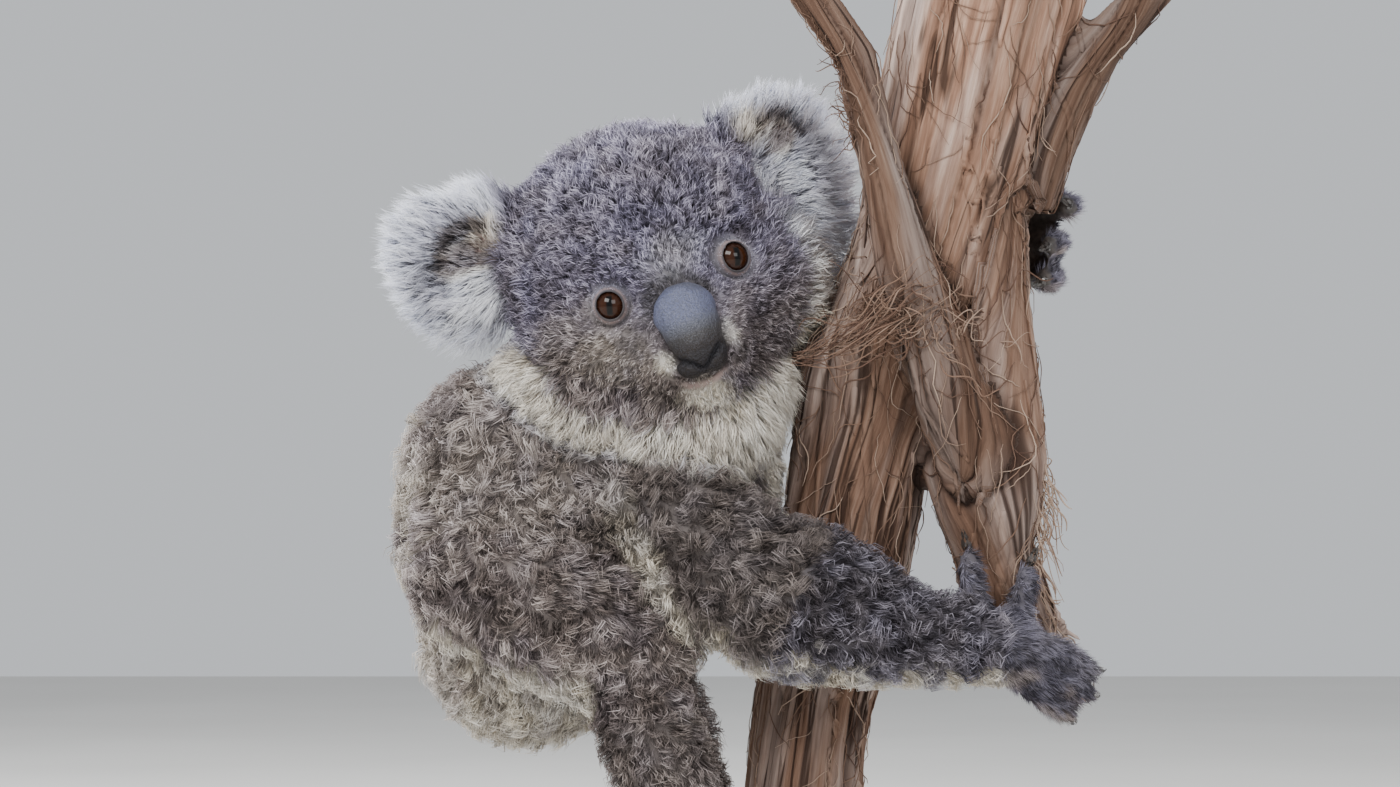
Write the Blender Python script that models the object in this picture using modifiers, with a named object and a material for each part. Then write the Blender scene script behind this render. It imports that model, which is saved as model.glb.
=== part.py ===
"""A young koala clinging to a cut length of a forked tree, on a plain display stand.

Metres, +Z up. The origin is the centre of the stand's underside. The koala faces +X, towards the tree,
with its right side towards -Y, and turns its head to look along -Y. All lengths below are millimetres,
and MM turns them into metres. The soft forms are rounded lumps fused into one closed surface; the outer
surface is the tips of the coat. Each piece is carved back from the pieces finished before it, so that
neighbours meet with a gap of CUT.
"""

import math

import bmesh
import bpy
from mathutils import Euler, Matrix, Vector

MM = 0.001
CUT = 0.4  # gap left between neighbours

# ---- driving dimensions ----
STAND_LENGTH = 300.0
STAND_WIDTH = 230.0
STAND_THICK = 16.0
STAND_CORNER = 60.0
ROD_RADIUS = 5.0
ROD_SPACING = 24.0
TREE_FOOT = 64.0  # height of the tree's lower cut
TREE_TOP = 496.0  # height of the tree's upper cut

# The tree's lines, as (x, y, z, radius) from the top down.
TRUNK_LINE = (
    (119, 6, 520, 40),
    (114, 6, 474, 40),
    (101, 6, 415, 37),
    (93, 6, 376, 34),
    (84, 6, 345, 36),
    (68, 6, 318, 34),
    (60, 6, 290, 30),
    (52, 4, 232, 28),
    (39, 2, 179, 24),
    (34, 0, 143, 24),
    (29, 0, 90, 25),
    (28, 0, 50, 26),
)
STEM_LINE = (
    (112, 2, 400, 18),
    (110, -4, 352, 20),
    (110, -9, 310, 24),
    (111, -11, 279, 27),
    (113, -11, 257, 22),
    (115, -10, 241, 17),
    (121, -9, 224, 17),
    (130, -8, 207, 14),
    (140, -7, 193, 11.5),
    (147, -6, 182, 9.5),
)
SHOOT_LINE = (
    (28, -24, 500, 9),
    (37, -26, 474, 10),
    (56, -30, 448, 9),
    (64, -33, 414, 9),
    (70, -34, 389, 11),
    (76, -34, 362, 14),
    (86, -33, 338, 15),
    (95, -30, 308, 16),
    (106, -22, 280, 16),
    (112, -14, 262, 14),
)
BRANCH_LINE = (
    (128, 4, 388, 14),
    (134, 2, 412, 16),
    (144, 1, 434, 15),
    (159, -1, 455, 11.5),
    (178, -2, 474, 9),
    (192, -3, 488, 8),
)
BRANCH_TOP = 476.0  # height of the branch's cut
# Each log's number of sides, bark ridges, ridge depth and steps between stations.
LOGS = {
    "perch_trunk": (TRUNK_LINE, 16, 6, 1.4, 2),
    "perch_stem": (STEM_LINE, 12, 4, 0.9, 1),
    "perch_shoot": (SHOOT_LINE, 8, 3, 0.5, 1),
    "perch_branch": (BRANCH_LINE, 8, 3, 0.5, 1),
}

# The head's own frame: x to the koala's left, y to the back of the head, z up, zero between the eyes.
HEAD_PLACE = (-24.8, -13.0, 354.8)
HEAD_YAW = 9.0
HEAD_ROLL = -21.0
EYE_SPREAD = 27.0
EYE_DEPTH = -28.5
EYE_RADIUS = 7.6
NOSE_SHIFT = -2.0  # the muzzle swings this far towards the koala's right

# Forms made of lumps, each a centre and three radii; a third entry turns the lump, in degrees.
NOSE_LUMPS = (
    ((NOSE_SHIFT, -47, -16), (14.2, 10, 12.5)),
    ((NOSE_SHIFT, -50.5, -24), (13.8, 10.5, 14)),
    ((NOSE_SHIFT, -53.5, -31.5), (12.2, 8.5, 10.5)),
)
HEAD_LUMPS = (
    ((-2, 11, 14), (59, 49, 54)),
    ((0, -9, 17), (42, 26, 37)),
    ((-1, -22, -4), (20, 20, 24)),
    ((NOSE_SHIFT, -31, -42), (15, 20, 13)),
    ((-2, -10, -30), (37, 33, 22)),
    ((-30, 0, -12), (35, 35, 33)),
    ((28, 0, -12), (35, 35, 33)),
    ((-17, -18, -16), (22, 25, 24)),
    ((15, -18, -16), (22, 25, 24)),
    ((-12, -37, -32), (14, 20, 14)),
    ((8, -37, -32), (14, 20, 14)),
)
TORSO_LUMPS = (
    ((-80, 2, 204), (50, 55, 47)),
    ((-84, 1, 252), (58, 60, 54)),
    ((-82, 0, 284), (56, 53, 43)),
    ((-40, 0, 276), (58, 52, 44)),
    ((-6, 0, 276), (38, 42, 38)),
    ((6, -8, 250), (26, 36, 32)),
    ((-40, 0, 232), (54, 46, 46)),
)
NECK_LUMPS = (
    ((-44, 2, 318), (50, 46, 30)),
    ((-58, -14, 305), (42, 41, 26), (0, 22, 0)),
    ((-18, -17, 295), (46, 40, 28), (0, 6, 0)),
    ((2, -4, 312), (32, 36, 28)),
)

# How each kind of form is fused: the remesh size, the rounds of smoothing and the triangles kept.
FUSING = {
    "eye": (0.9, 2, 100),
    "nose": (1.2, 3, 170),
    "head": (2.2, 9, 620),
    "ear": (2.0, 3, 190),
    "torso": (2.6, 22, 480),
    "neck": (2.6, 8, 260),
    "limb": (2.4, 4, 130),
    "hand": (1.5, 2, 300),
    "foot": (1.5, 2, 260),
    "claw": (0.55, 1, 26),
}
CLAW_SIZES = (2.6, 2.0, 0.75)  # radius at the root, the bend and the point

# Each ear's centre and radii in the head's frame, and its turn about y and z in degrees.
EARS = {
    "ear_left": {"centre": (66, 15, 24), "radii": (31, 13, 39), "turn": (0, 6, 14), "side": 1},
    "ear_right": {"centre": (-77, 15, 36), "radii": (27, 12, 34), "turn": (0, -8, -20), "side": -1},
}

# The koala's limbs, as (x, y, z, radius) from root to tip; the right side is at -Y.
LIMBS = {
    "upper_arm_right": ((-26, -34, 263, 31), (-6, -49, 247, 32), (14, -57, 231, 34)),
    "forearm_right": ((10, -60, 222, 24), (28, -58, 224, 35), (48, -54, 218, 31), (70, -51, 211, 25), (102, -46, 204, 18)),
    "thigh_right": ((-98, -34, 234, 37), (-70, -48, 217, 35), (-34, -52, 199, 27)),
    "shank_right": ((-34, -52, 192, 21), (-28, -52, 164, 24), (-12, -49, 128, 19), (2, -45, 96, 14)),
    "upper_arm_left": ((-30, 36, 296, 32), (0, 54, 316, 28), (32, 64, 332, 25)),
    "forearm_left": ((32, 64, 334, 19), (60, 61, 346, 22), (84, 56, 356, 19), (104, 50, 362, 15)),
    "thigh_left": ((-98, 36, 236, 37), (-70, 50, 222, 35), (-34, 55, 207, 27)),
    "shank_left": ((-34, 55, 200, 21), (-28, 55, 172, 24), (-12, 51, 136, 19), (2, 46, 104, 14)),
}

# Digits, as base, knuckle and tip; a claw goes on from the tip towards CLAW_AIM of its hand or foot.
HANDS = {
    "hand_right": {
        "palm": ((104, -46, 205, 16), (117, -42, 204, 15), (124, -40, 202, 12.5)),
        "digits": (
            ((109, -42, 214), (104, -41, 228), (103, -37, 240)),
            ((121, -42, 212), (125, -40, 224), (127, -36, 234)),
            ((124, -42, 207), (141, -38, 202), (153, -22, 194)),
            ((122, -41, 201), (139, -34, 192), (151, -16, 184)),
            ((119, -40, 196), (133, -32, 184), (145, -14, 178)),
        ),
        "claw_ways": ((-2, 3, 7), (4, 3, 7), (5, 6, 1), (3, 8, 0), (2, 8, 0)),
        "girth": 6.2,
    },
    "hand_left": {
        "palm": ((102, 51, 362, 13), (110, 48, 368, 14), (117, 44, 371, 12)),
        "digits": (
            ((106, 48, 380), (98, 46, 394), (92, 43, 405)),
            ((114, 46, 383), (110, 45, 398), (110, 42, 411)),
            ((121, 42, 380), (142, 22, 388), (143, 6, 389)),
            ((122, 41, 371), (141, 22, 372), (139, 5, 371)),
            ((120, 42, 362), (139, 23, 358), (137, 7, 357)),
        ),
        "claw_ways": ((-6, -3, 4), (-3, -3, 6), (-6, -6, 3), (-5, -7, -2), (-5, -7, -3)),
        "girth": 6.6,
    },
}
FEET = {
    "foot_right": {
        "palm": ((1, -45, 92, 12), (14, -41, 92, 14), (27, -39, 95, 12)),
        "digits": (
            ((8, -38, 98), (3, -34, 111), (6, -26, 120)),
            ((26, -40, 104), (32, -38, 117), (37, -32, 126)),
            ((29, -40, 101), (39, -37, 112), (46, -30, 118)),
            ((32, -39, 97), (47, -34, 103), (57, -22, 107)),
            ((30, -38, 89), (46, -33, 89), (57, -20, 91)),
        ),
        "claw_ways": (None, (4, 4, 5), (5, 5, 3), (5, 7, 2), (4, 8, 1)),
        "girth": 6.6,
    },
    "foot_left": {
        "palm": ((1, 46, 100, 12), (14, 42, 100, 14), (27, 40, 103, 12)),
        "digits": (
            ((8, 39, 106), (3, 35, 119), (6, 27, 128)),
            ((26, 41, 112), (32, 39, 125), (37, 33, 134)),
            ((29, 41, 109), (39, 38, 120), (46, 31, 126)),
            ((32, 40, 105), (47, 35, 111), (57, 23, 115)),
            ((30, 39, 97), (46, 34, 97), (57, 21, 99)),
        ),
        "claw_ways": (None, (4, -4, 5), (5, -5, 3), (5, -7, 2), (4, -8, 1)),
        "girth": 6.6,
    },
}


# ---- tools ----
def clear_scene():
    for obj in list(bpy.data.objects):
        bpy.data.objects.remove(obj)


def collection_named(name):
    made = bpy.data.collections.new(name)
    bpy.context.scene.collection.children.link(made)
    return made


def material(name, colour, roughness, metallic=0.0):
    made = bpy.data.materials.new(name)
    made.use_nodes = True
    shader = made.node_tree.nodes["Principled BSDF"]
    shader.inputs["Base Color"].default_value = (*colour, 1.0)
    shader.inputs["Roughness"].default_value = roughness
    shader.inputs["Metallic"].default_value = metallic
    made.diffuse_color = (*colour, 1.0)
    return made


def smooth_line(stations, per_span=6):
    """Points on a Catmull-Rom curve through the stations, each a tuple of any length."""
    rows = [Vector(row).to_4d() if len(row) == 3 else Vector(row) for row in stations]
    first = rows[0] * 2 - rows[1]
    last = rows[-1] * 2 - rows[-2]
    padded = [first, *rows, last]
    points = []
    for a, b, c, d in zip(padded, padded[1:], padded[2:], padded[3:]):
        for step in range(per_span):
            t = step / per_span
            points.append(
                0.5 * (2 * b + (c - a) * t + (2 * a - 5 * b + 4 * c - d) * t**2 + (3 * b - a - 3 * c + d) * t**3)
            )
    return [*points, rows[-1]]


def clear_of_wood(point, room):
    """The point, moved straight out of any log until it is that far from the log's side."""
    place = Vector(point[:3])
    for line in (TRUNK_LINE, STEM_LINE, SHOOT_LINE, BRANCH_LINE):
        rows = smooth_line(line, 8)
        spine = min(rows, key=lambda row: (row.xyz - place).length - row[3])
        out = place - spine.xyz
        short = spine[3] + room - out.length
        if short > 0:
            place += out.normalized() * short
    return place


def add_lump(form, centre, radii, turn=(0, 0, 0), frame=None):
    """Adds an ellipsoid to the form; turn is in degrees, and frame places it in another frame."""
    place = Matrix.Translation(Vector(centre)) @ Euler([math.radians(a) for a in turn]).to_matrix().to_4x4()
    if frame is not None:
        place = frame @ place
    sized = place @ Matrix.Diagonal((*radii, 1.0))
    bmesh.ops.create_uvsphere(form, u_segments=20, v_segments=12, radius=1.0, matrix=sized)


def add_chain(form, stations, per_span=6):
    """Adds balls strung close together along the stations (x, y, z, radius)."""
    for point in smooth_line(stations, per_span):
        add_lump(form, point[:3], (point[3],) * 3)


def link(name, mesh, home, finish):
    made = bpy.data.objects.new(name, mesh)
    home.objects.link(made)
    made.data.materials.clear()
    made.data.materials.append(finish)
    return made


def baked(obj):
    """Replaces the object's mesh by what its modifiers make of it."""
    graph = bpy.context.evaluated_depsgraph_get()
    graph.update()
    mesh = bpy.data.meshes.new_from_object(obj.evaluated_get(graph))
    obj.modifiers.clear()
    obj.data = mesh
    return obj


def mesh_of(form, name):
    """The form's millimetres as a mesh in metres."""
    mesh = bpy.data.meshes.new(name)
    form.to_mesh(mesh)
    form.free()
    mesh.transform(Matrix.Scale(MM, 4))
    return mesh


def fused(name, form, finish, kind):
    """One closed skin round the form's overlapping lumps, smoothed and thinned as FUSING says."""
    voxel, smoothing, triangles = FUSING[kind]
    obj = link(name, mesh_of(form, name), MODEL, finish)
    remesh = obj.modifiers.new("fuse", "REMESH")
    remesh.mode = "VOXEL"
    remesh.voxel_size = voxel * MM
    smooth = obj.modifiers.new("soften", "SMOOTH")
    smooth.factor = 0.5
    smooth.iterations = smoothing
    baked(obj)
    count = sum(len(face.vertices) - 2 for face in obj.data.polygons)
    thin = obj.modifiers.new("thin", "DECIMATE")
    thin.ratio = min(1.0, triangles / count)
    return baked(obj)


def swollen(mesh, by):
    """A copy of the mesh, grown evenly by that many millimetres."""
    grown = mesh.copy()
    form = bmesh.new()
    form.from_mesh(grown)
    ways = [vertex.normal * min(vertex.calc_shell_factor(), 2.0) for vertex in form.verts]
    for vertex, way in zip(form.verts, ways):
        vertex.co += way * by * MM
    form.to_mesh(grown)
    form.free()
    return grown


def near(a, b):
    """Whether the boxes of two meshes come within the cut's width of each other."""
    low_a, high_a = corners(a)
    low_b, high_b = corners(b)
    slack = 2 * CUT * MM
    return all(low_a[i] < high_b[i] + slack and low_b[i] < high_a[i] + slack for i in range(3))


def corners(mesh):
    points = [vertex.co for vertex in mesh.vertices]
    return [min(p[i] for p in points) for i in range(3)], [max(p[i] for p in points) for i in range(3)]


def keep_largest(obj):
    """Drops the crumbs that a cut leaves, keeping the body of the largest volume."""
    form = bmesh.new()
    form.from_mesh(obj.data)
    form.verts.ensure_lookup_table()
    left = set(form.verts)
    bodies = []
    while left:
        front = [left.pop()]
        body = set(front)
        while front:
            for edge in front.pop().link_edges:
                for vertex in edge.verts:
                    if vertex in left:
                        left.discard(vertex)
                        body.add(vertex)
                        front.append(vertex)
        bodies.append(body)
    sized = sorted(bodies, key=lambda body: bulk(body), reverse=True)
    for body in sized[1:]:
        bmesh.ops.delete(form, geom=list(body), context="VERTS")
    form.to_mesh(obj.data)
    form.free()


def bulk(body):
    """The volume enclosed by the faces of a set of vertices."""
    faces = {face for vertex in body for face in vertex.link_faces}
    total = 0.0
    for face in faces:
        first, *others = [vertex.co for vertex in face.verts]
        for a, b in zip(others, others[1:]):
            total += first.dot(a.cross(b)) / 6
    return abs(total)


def cut_by(obj, mesh):
    """Takes the closed mesh out of the object."""
    cutter = link("cutter", mesh, CUTTERS, obj.data.materials[0])
    boolean = obj.modifiers.new("cut", "BOOLEAN")
    boolean.operation = "DIFFERENCE"
    boolean.solver = "EXACT"
    boolean.object = cutter
    baked(obj)
    bpy.data.objects.remove(cutter)


def finish_piece(obj, carve=True):
    """Carves the piece back from the whole forms of those made before it, and adds its own form to them."""
    whole = swollen(obj.data, CUT)
    for other in FORMS:
        if carve and near(obj.data, other):
            cut_by(obj, other.copy())
    FORMS.append(whole)
    keep_largest(obj)
    obj.data.shade_smooth()
    obj.data.set_sharp_from_angle(angle=math.radians(50))
    return obj


# ---- the tree ----
def log(name, line, sides, flutes, depth, per_span):
    """A tapering log along a line, its bark fluted lengthwise by the given number of ridges."""
    points = smooth_line(line, per_span)
    curve = bpy.data.curves.new(name, "CURVE")
    curve.dimensions = "3D"
    curve.bevel_depth = 1.0
    curve.bevel_resolution = sides // 2 - 2
    curve.use_fill_caps = True
    spline = curve.splines.new("POLY")
    spline.points.add(len(points) - 1)
    for knot, point in zip(spline.points, points):
        knot.co = (*(point.xyz * MM), 1.0)
        knot.radius = point[3] * MM
    guide = bpy.data.objects.new(name + "_line", curve)
    CUTTERS.objects.link(guide)
    graph = bpy.context.evaluated_depsgraph_get()
    graph.update()
    mesh = bpy.data.meshes.new_from_object(guide.evaluated_get(graph))
    bpy.data.objects.remove(guide)
    form = bmesh.new()
    form.from_mesh(mesh)
    bmesh.ops.remove_doubles(form, verts=form.verts, dist=0.01 * MM)
    for vertex in form.verts:
        spine = min(points, key=lambda point: (point.xyz * MM - vertex.co).length).xyz * MM
        out = vertex.co - spine
        angle = math.atan2(out.y, out.x)
        height = vertex.co.z / MM
        ridge = math.sin(flutes * angle + 0.02 * height) + 0.6 * math.sin(3 * angle - 0.035 * height)
        vertex.co += out.normalized() * ridge * depth * MM
    bmesh.ops.recalc_face_normals(form, faces=form.faces)
    bmesh.ops.triangulate(form, faces=form.faces)
    form.to_mesh(mesh)
    form.free()
    return link(name, mesh, MODEL, BARK)


def flat_cut(obj, height, above):
    """Cuts everything above, or below, that height away."""
    half = 400.0
    form = bmesh.new()
    side = half if above else -half
    place = Matrix.Translation((0, 0, (height + side) * MM)) @ Matrix.Scale(2 * half * MM, 4)
    bmesh.ops.create_cube(form, size=1.0, matrix=place)
    mesh = bpy.data.meshes.new("plane_cut")
    form.to_mesh(mesh)
    form.free()
    cut_by(obj, mesh)


def build_tree():
    for name, shape in LOGS.items():
        wood = log(name, *shape)
        low, high = corners(wood.data)
        top = BRANCH_TOP if name == "perch_branch" else TREE_TOP
        if high[2] > top * MM:
            flat_cut(wood, top, True)
        if low[2] < TREE_FOOT * MM:
            flat_cut(wood, TREE_FOOT, False)
        finish_piece(wood)


# ---- the stand ----
def build_stand():
    """A flat plate with round corners, and two rods up to the tree's lower cut."""
    form = bmesh.new()
    size = Matrix.Diagonal((STAND_LENGTH * MM, STAND_WIDTH * MM, STAND_THICK * MM, 1.0))
    bmesh.ops.create_cube(form, size=1.0, matrix=Matrix.Translation((0, 0, STAND_THICK / 2 * MM)) @ size)
    uprights = [e for e in form.edges if abs(e.verts[0].co.z - e.verts[1].co.z) > MM]
    bmesh.ops.bevel(form, geom=uprights, offset=STAND_CORNER * MM, segments=6, profile=0.5, affect="EDGES")
    rim = [e for e in form.edges if all(v.co.z > STAND_THICK * MM * 0.9 for v in e.verts) and len(e.link_faces) == 2]
    rim = [e for e in rim if e.calc_face_angle() > 1.0]
    bmesh.ops.bevel(form, geom=rim, offset=2.5 * MM, segments=2, profile=0.5, affect="EDGES")
    bmesh.ops.triangulate(form, faces=form.faces)
    mesh = bpy.data.meshes.new("stand_base")
    form.to_mesh(mesh)
    form.free()
    finish_piece(link("stand_base", mesh, MODEL, BASE), carve=False)
    foot = TRUNK_LINE[-2]
    for side, sign in (("left", -1), ("right", 1)):
        form = bmesh.new()
        low, high = STAND_THICK + CUT, TREE_FOOT - CUT
        place = Matrix.Translation(Vector((foot[0] + sign * ROD_SPACING / 2, foot[1], (low + high) / 2)) * MM)
        bmesh.ops.create_cone(
            form, cap_ends=True, segments=16, depth=(high - low) * MM,
            radius1=ROD_RADIUS * MM, radius2=ROD_RADIUS * MM, matrix=place,
        )
        mesh = bpy.data.meshes.new("stand_rod")
        form.to_mesh(mesh)
        form.free()
        finish_piece(link("stand_rod_" + side, mesh, MODEL, STEEL), carve=False)


# ---- the koala ----
def head_frame():
    turn = Matrix.Rotation(math.radians(HEAD_YAW), 4, "Z")
    tilt = Matrix.Rotation(math.radians(HEAD_ROLL), 4, "Y")
    return Matrix.Translation(Vector(HEAD_PLACE)) @ turn @ tilt


def lumps_form(lumps, frame=None):
    form = bmesh.new()
    for centre, radii, *turn in lumps:
        add_lump(form, centre, radii, *turn, frame=frame)
    return form


def build_face(frame):
    """Eyes, nose, head and ears, each in the head's own frame."""
    for side, sign in (("left", 1), ("right", -1)):
        ball = (((sign * EYE_SPREAD, EYE_DEPTH, 0), (EYE_RADIUS,) * 3),)
        finish_piece(fused("eye_" + side, lumps_form(ball, frame), EYE, "eye"))
    finish_piece(fused("nose", lumps_form(NOSE_LUMPS, frame), LEATHER, "nose"))
    finish_piece(fused("head", lumps_form(HEAD_LUMPS, frame), FUR, "head"))
    for name, ear in EARS.items():
        build_ear(name, ear, frame)


def build_ear(name, ear, frame):
    """A round upright ear, hollowed in front, with its long fringe in the outline."""
    centre = Vector(ear["centre"])
    wide, thick, tall = ear["radii"]
    inward = Vector((-ear["side"], 0, 0))
    root = centre + inward * 22 + Vector((0, 0, 5))
    lobes = ((centre, ear["radii"], ear["turn"]), (root, (18, 14, tall * 0.72), ear["turn"]))
    piece = fused(name, lumps_form(lobes, frame), FUR, "ear")
    hollow = centre + inward * 2 - Vector((0, thick * 1.15, 2))
    scoop = ((hollow, (wide * 0.56, thick * 1.05, tall * 0.62), ear["turn"]),)
    cut_by(piece, mesh_of(lumps_form(scoop, frame), "scoop"))
    finish_piece(piece)


def build_limb(name, stations):
    form = bmesh.new()
    add_chain(form, stations)
    finish_piece(fused(name, form, FUR, "limb"))


def build_paw(name, shape, kind):
    """A palm or sole with its digits, then their claws."""
    form = bmesh.new()
    add_chain(form, shape["palm"])
    girth = shape["girth"]
    for base, knuckle, tip in shape["digits"]:
        knuckle = clear_of_wood(knuckle, girth * 0.9)
        tip = clear_of_wood(tip, girth * 0.7)
        add_chain(form, ((*base, girth * 1.15), (*knuckle, girth), (*tip, girth * 0.84)), 7)
    finish_piece(fused(name, form, FUR, kind))


def build_claws(name, shape):
    for number, (digit, way) in enumerate(zip(shape["digits"], shape["claw_ways"]), 1):
        if way is None:
            continue
        girth = shape["girth"]
        tip = clear_of_wood(digit[2], girth * 0.7)
        aim = Vector(way).normalized()
        along = (tip - clear_of_wood(digit[1], girth * 0.9)).normalized()
        root = clear_of_wood(tip + along * 1.0, 3.0)
        bend = clear_of_wood(root + (along + aim) * 3.6, 2.6)
        point = clear_of_wood(bend + aim * 5.4, 1.6)
        form = bmesh.new()
        stations = [(*place, size) for place, size in zip((root, bend, point), CLAW_SIZES)]
        add_chain(form, stations, 8)
        finish_piece(fused("claw_" + name + "_" + str(number), form, HORN, "claw"))


clear_scene()
MODEL = collection_named("koala_on_perch")
CUTTERS = collection_named("cutters")
FORMS = []
FUR = material("fur", (0.27, 0.25, 0.24), 0.95)
LEATHER = material("nose_leather", (0.12, 0.13, 0.15), 0.55)
EYE = material("eye", (0.07, 0.03, 0.015), 0.08)
HORN = material("claw_horn", (0.05, 0.045, 0.045), 0.4)
BARK = material("bark", (0.33, 0.2, 0.14), 0.9)
BASE = material("stand_board", (0.62, 0.6, 0.57), 0.5)
STEEL = material("stand_steel", (0.6, 0.6, 0.6), 0.3, 1.0)

build_tree()
build_stand()
build_face(head_frame())
finish_piece(fused("torso", lumps_form(TORSO_LUMPS), FUR, "torso"))
finish_piece(fused("neck", lumps_form(NECK_LUMPS), FUR, "neck"))
for limb, line in LIMBS.items():
    build_limb(limb, line)
for paws, kind_of_paw in ((HANDS, "hand"), (FEET, "foot")):
    for paw, shape_of_paw in paws.items():
        build_paw(paw, shape_of_paw, kind_of_paw)
        build_claws(paw, shape_of_paw)
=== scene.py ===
import math

import bmesh
import bpy
import numpy as np
from mathutils import Matrix, Vector
from mathutils.bvhtree import BVHTree
from mathutils.kdtree import KDTree


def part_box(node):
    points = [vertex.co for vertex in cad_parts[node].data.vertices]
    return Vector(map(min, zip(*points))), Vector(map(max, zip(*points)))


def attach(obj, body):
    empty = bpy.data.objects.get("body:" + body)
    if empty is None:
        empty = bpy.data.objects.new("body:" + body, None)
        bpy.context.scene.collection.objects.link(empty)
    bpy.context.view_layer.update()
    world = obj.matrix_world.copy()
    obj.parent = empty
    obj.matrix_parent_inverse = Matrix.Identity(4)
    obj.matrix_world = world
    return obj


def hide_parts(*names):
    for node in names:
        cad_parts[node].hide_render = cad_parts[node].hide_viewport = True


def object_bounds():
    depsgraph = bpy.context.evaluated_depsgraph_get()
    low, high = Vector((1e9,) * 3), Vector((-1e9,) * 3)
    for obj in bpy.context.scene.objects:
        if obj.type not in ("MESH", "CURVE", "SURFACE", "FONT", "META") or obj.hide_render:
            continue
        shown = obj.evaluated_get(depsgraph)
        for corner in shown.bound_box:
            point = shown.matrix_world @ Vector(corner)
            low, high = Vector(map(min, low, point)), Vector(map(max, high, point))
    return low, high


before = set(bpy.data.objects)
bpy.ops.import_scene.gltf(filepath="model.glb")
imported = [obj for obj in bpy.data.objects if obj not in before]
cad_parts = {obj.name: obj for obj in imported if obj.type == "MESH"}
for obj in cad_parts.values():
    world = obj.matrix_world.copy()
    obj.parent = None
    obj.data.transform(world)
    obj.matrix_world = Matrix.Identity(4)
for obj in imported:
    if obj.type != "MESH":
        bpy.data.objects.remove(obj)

CAD_LOW, CAD_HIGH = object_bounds()
MM = 0.001
rng = np.random.default_rng(7)

# Lengths are in millimetres, as in the part's source, and MM turns them into metres. The camera and the
# lamps are placed in metres, and a texture's scale is per metre.
# ---- the head's frame: x to the koala's left, y to the back of the head, z up ----
HEAD_YAW = 9.0
HEAD_ROLL = -21.0
EYE_DEPTH = -28.5  # the eyes' y in that frame
EYE_OPENING = (5.5, 5.9)  # half the width and height between the lids
GAZE_OUT = 12.0  # degrees that each eye turns out from straight ahead
PUPIL_UPRIGHT = 0.8  # the share of the head's roll that the eyes turn back, to keep the slits upright
NOSE_AT = (-2.0, -52.0, -24.0)  # the middle of the bare nose
MOUTH_AT = (-4.0, -50.0, -40.4)  # the middle of the mouth's line
NOSE_RISE = 2.8  # how far the bare leather sits above its solid
NOSE_TAPER = ((-39, -35, -31, -26, -19, -12), (1.14, 1.10, 0.93, 0.83, 0.90, 0.95))  # its width by height
NOSTRIL_AXIS = -4.2  # the x that the nostrils mirror about
NOSTRIL = ((9.2, -30.0), (6.4, -32.2), (3.0, -34.8), (0.4, -36.6))  # its slit: x from the axis, and z
NOSTRIL_DEPTH = 2.4
WING_HEIGHT = 1.3
WING = (6.8, -37.4, 4.8, 3.4)  # the swelling under each nostril: x from the axis, z, and its two radii
MOUTH_CURVE = 0.027  # how much the mouth's line rises with the square of the distance from its middle
PUPIL = ((0.19, 0.12), (0.58, 0.46))  # half the slit's width and height, from outside to inside
FACE_MIDDLE = (-5.0, -10.0)  # x and z of the face's oval
FACE_RADII = (57.0, 44.0)
# Each ear in the head's frame: its centre and radii; then its spots, as outward and up from the centre and
# then the radius or radii: the bare hollow, the white tuft under it, the dark streaks beyond it and the
# cream towards the crown; then the radius and thickness of the dark arc over the hollow, how far out the
# head's dark fur reaches, and how much longer the fringe at the bottom is.
EARS = {
    "ear_left": {
        "centre": (66, 15, 24), "radii": (31, 39), "side": 1,
        "hollow": (5, 15, 5, 6), "tuft": (3.0, -2.5, 10.5, 12), "streaks": (18, 3.5, 6.5, 15),
        "cream": (-7, 24, 8), "arc": (9.5, 3.8), "join": -13, "fringe": 0.5,
    },
    "ear_right": {
        "centre": (-77, 15, 36), "radii": (27, 34), "side": -1,
        "hollow": (-8, 2.2, 12, 7), "tuft": (-5.5, -10.5, 12, 8.5), "streaks": (10.5, -3, 7, 12),
        "cream": (-17, 10, 8), "arc": (14, 3.0), "join": -25, "fringe": 0.1,
    },
}
# The way that each palm or sole faces.
PALMS = {
    "hand_left": (-0.5, -0.85, 0.0),
    "hand_right": (0.25, 1.0, 0.0),
    "foot_left": (0.25, -1.0, 0.0),
    "foot_right": (0.25, 1.0, 0.0),
}

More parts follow.
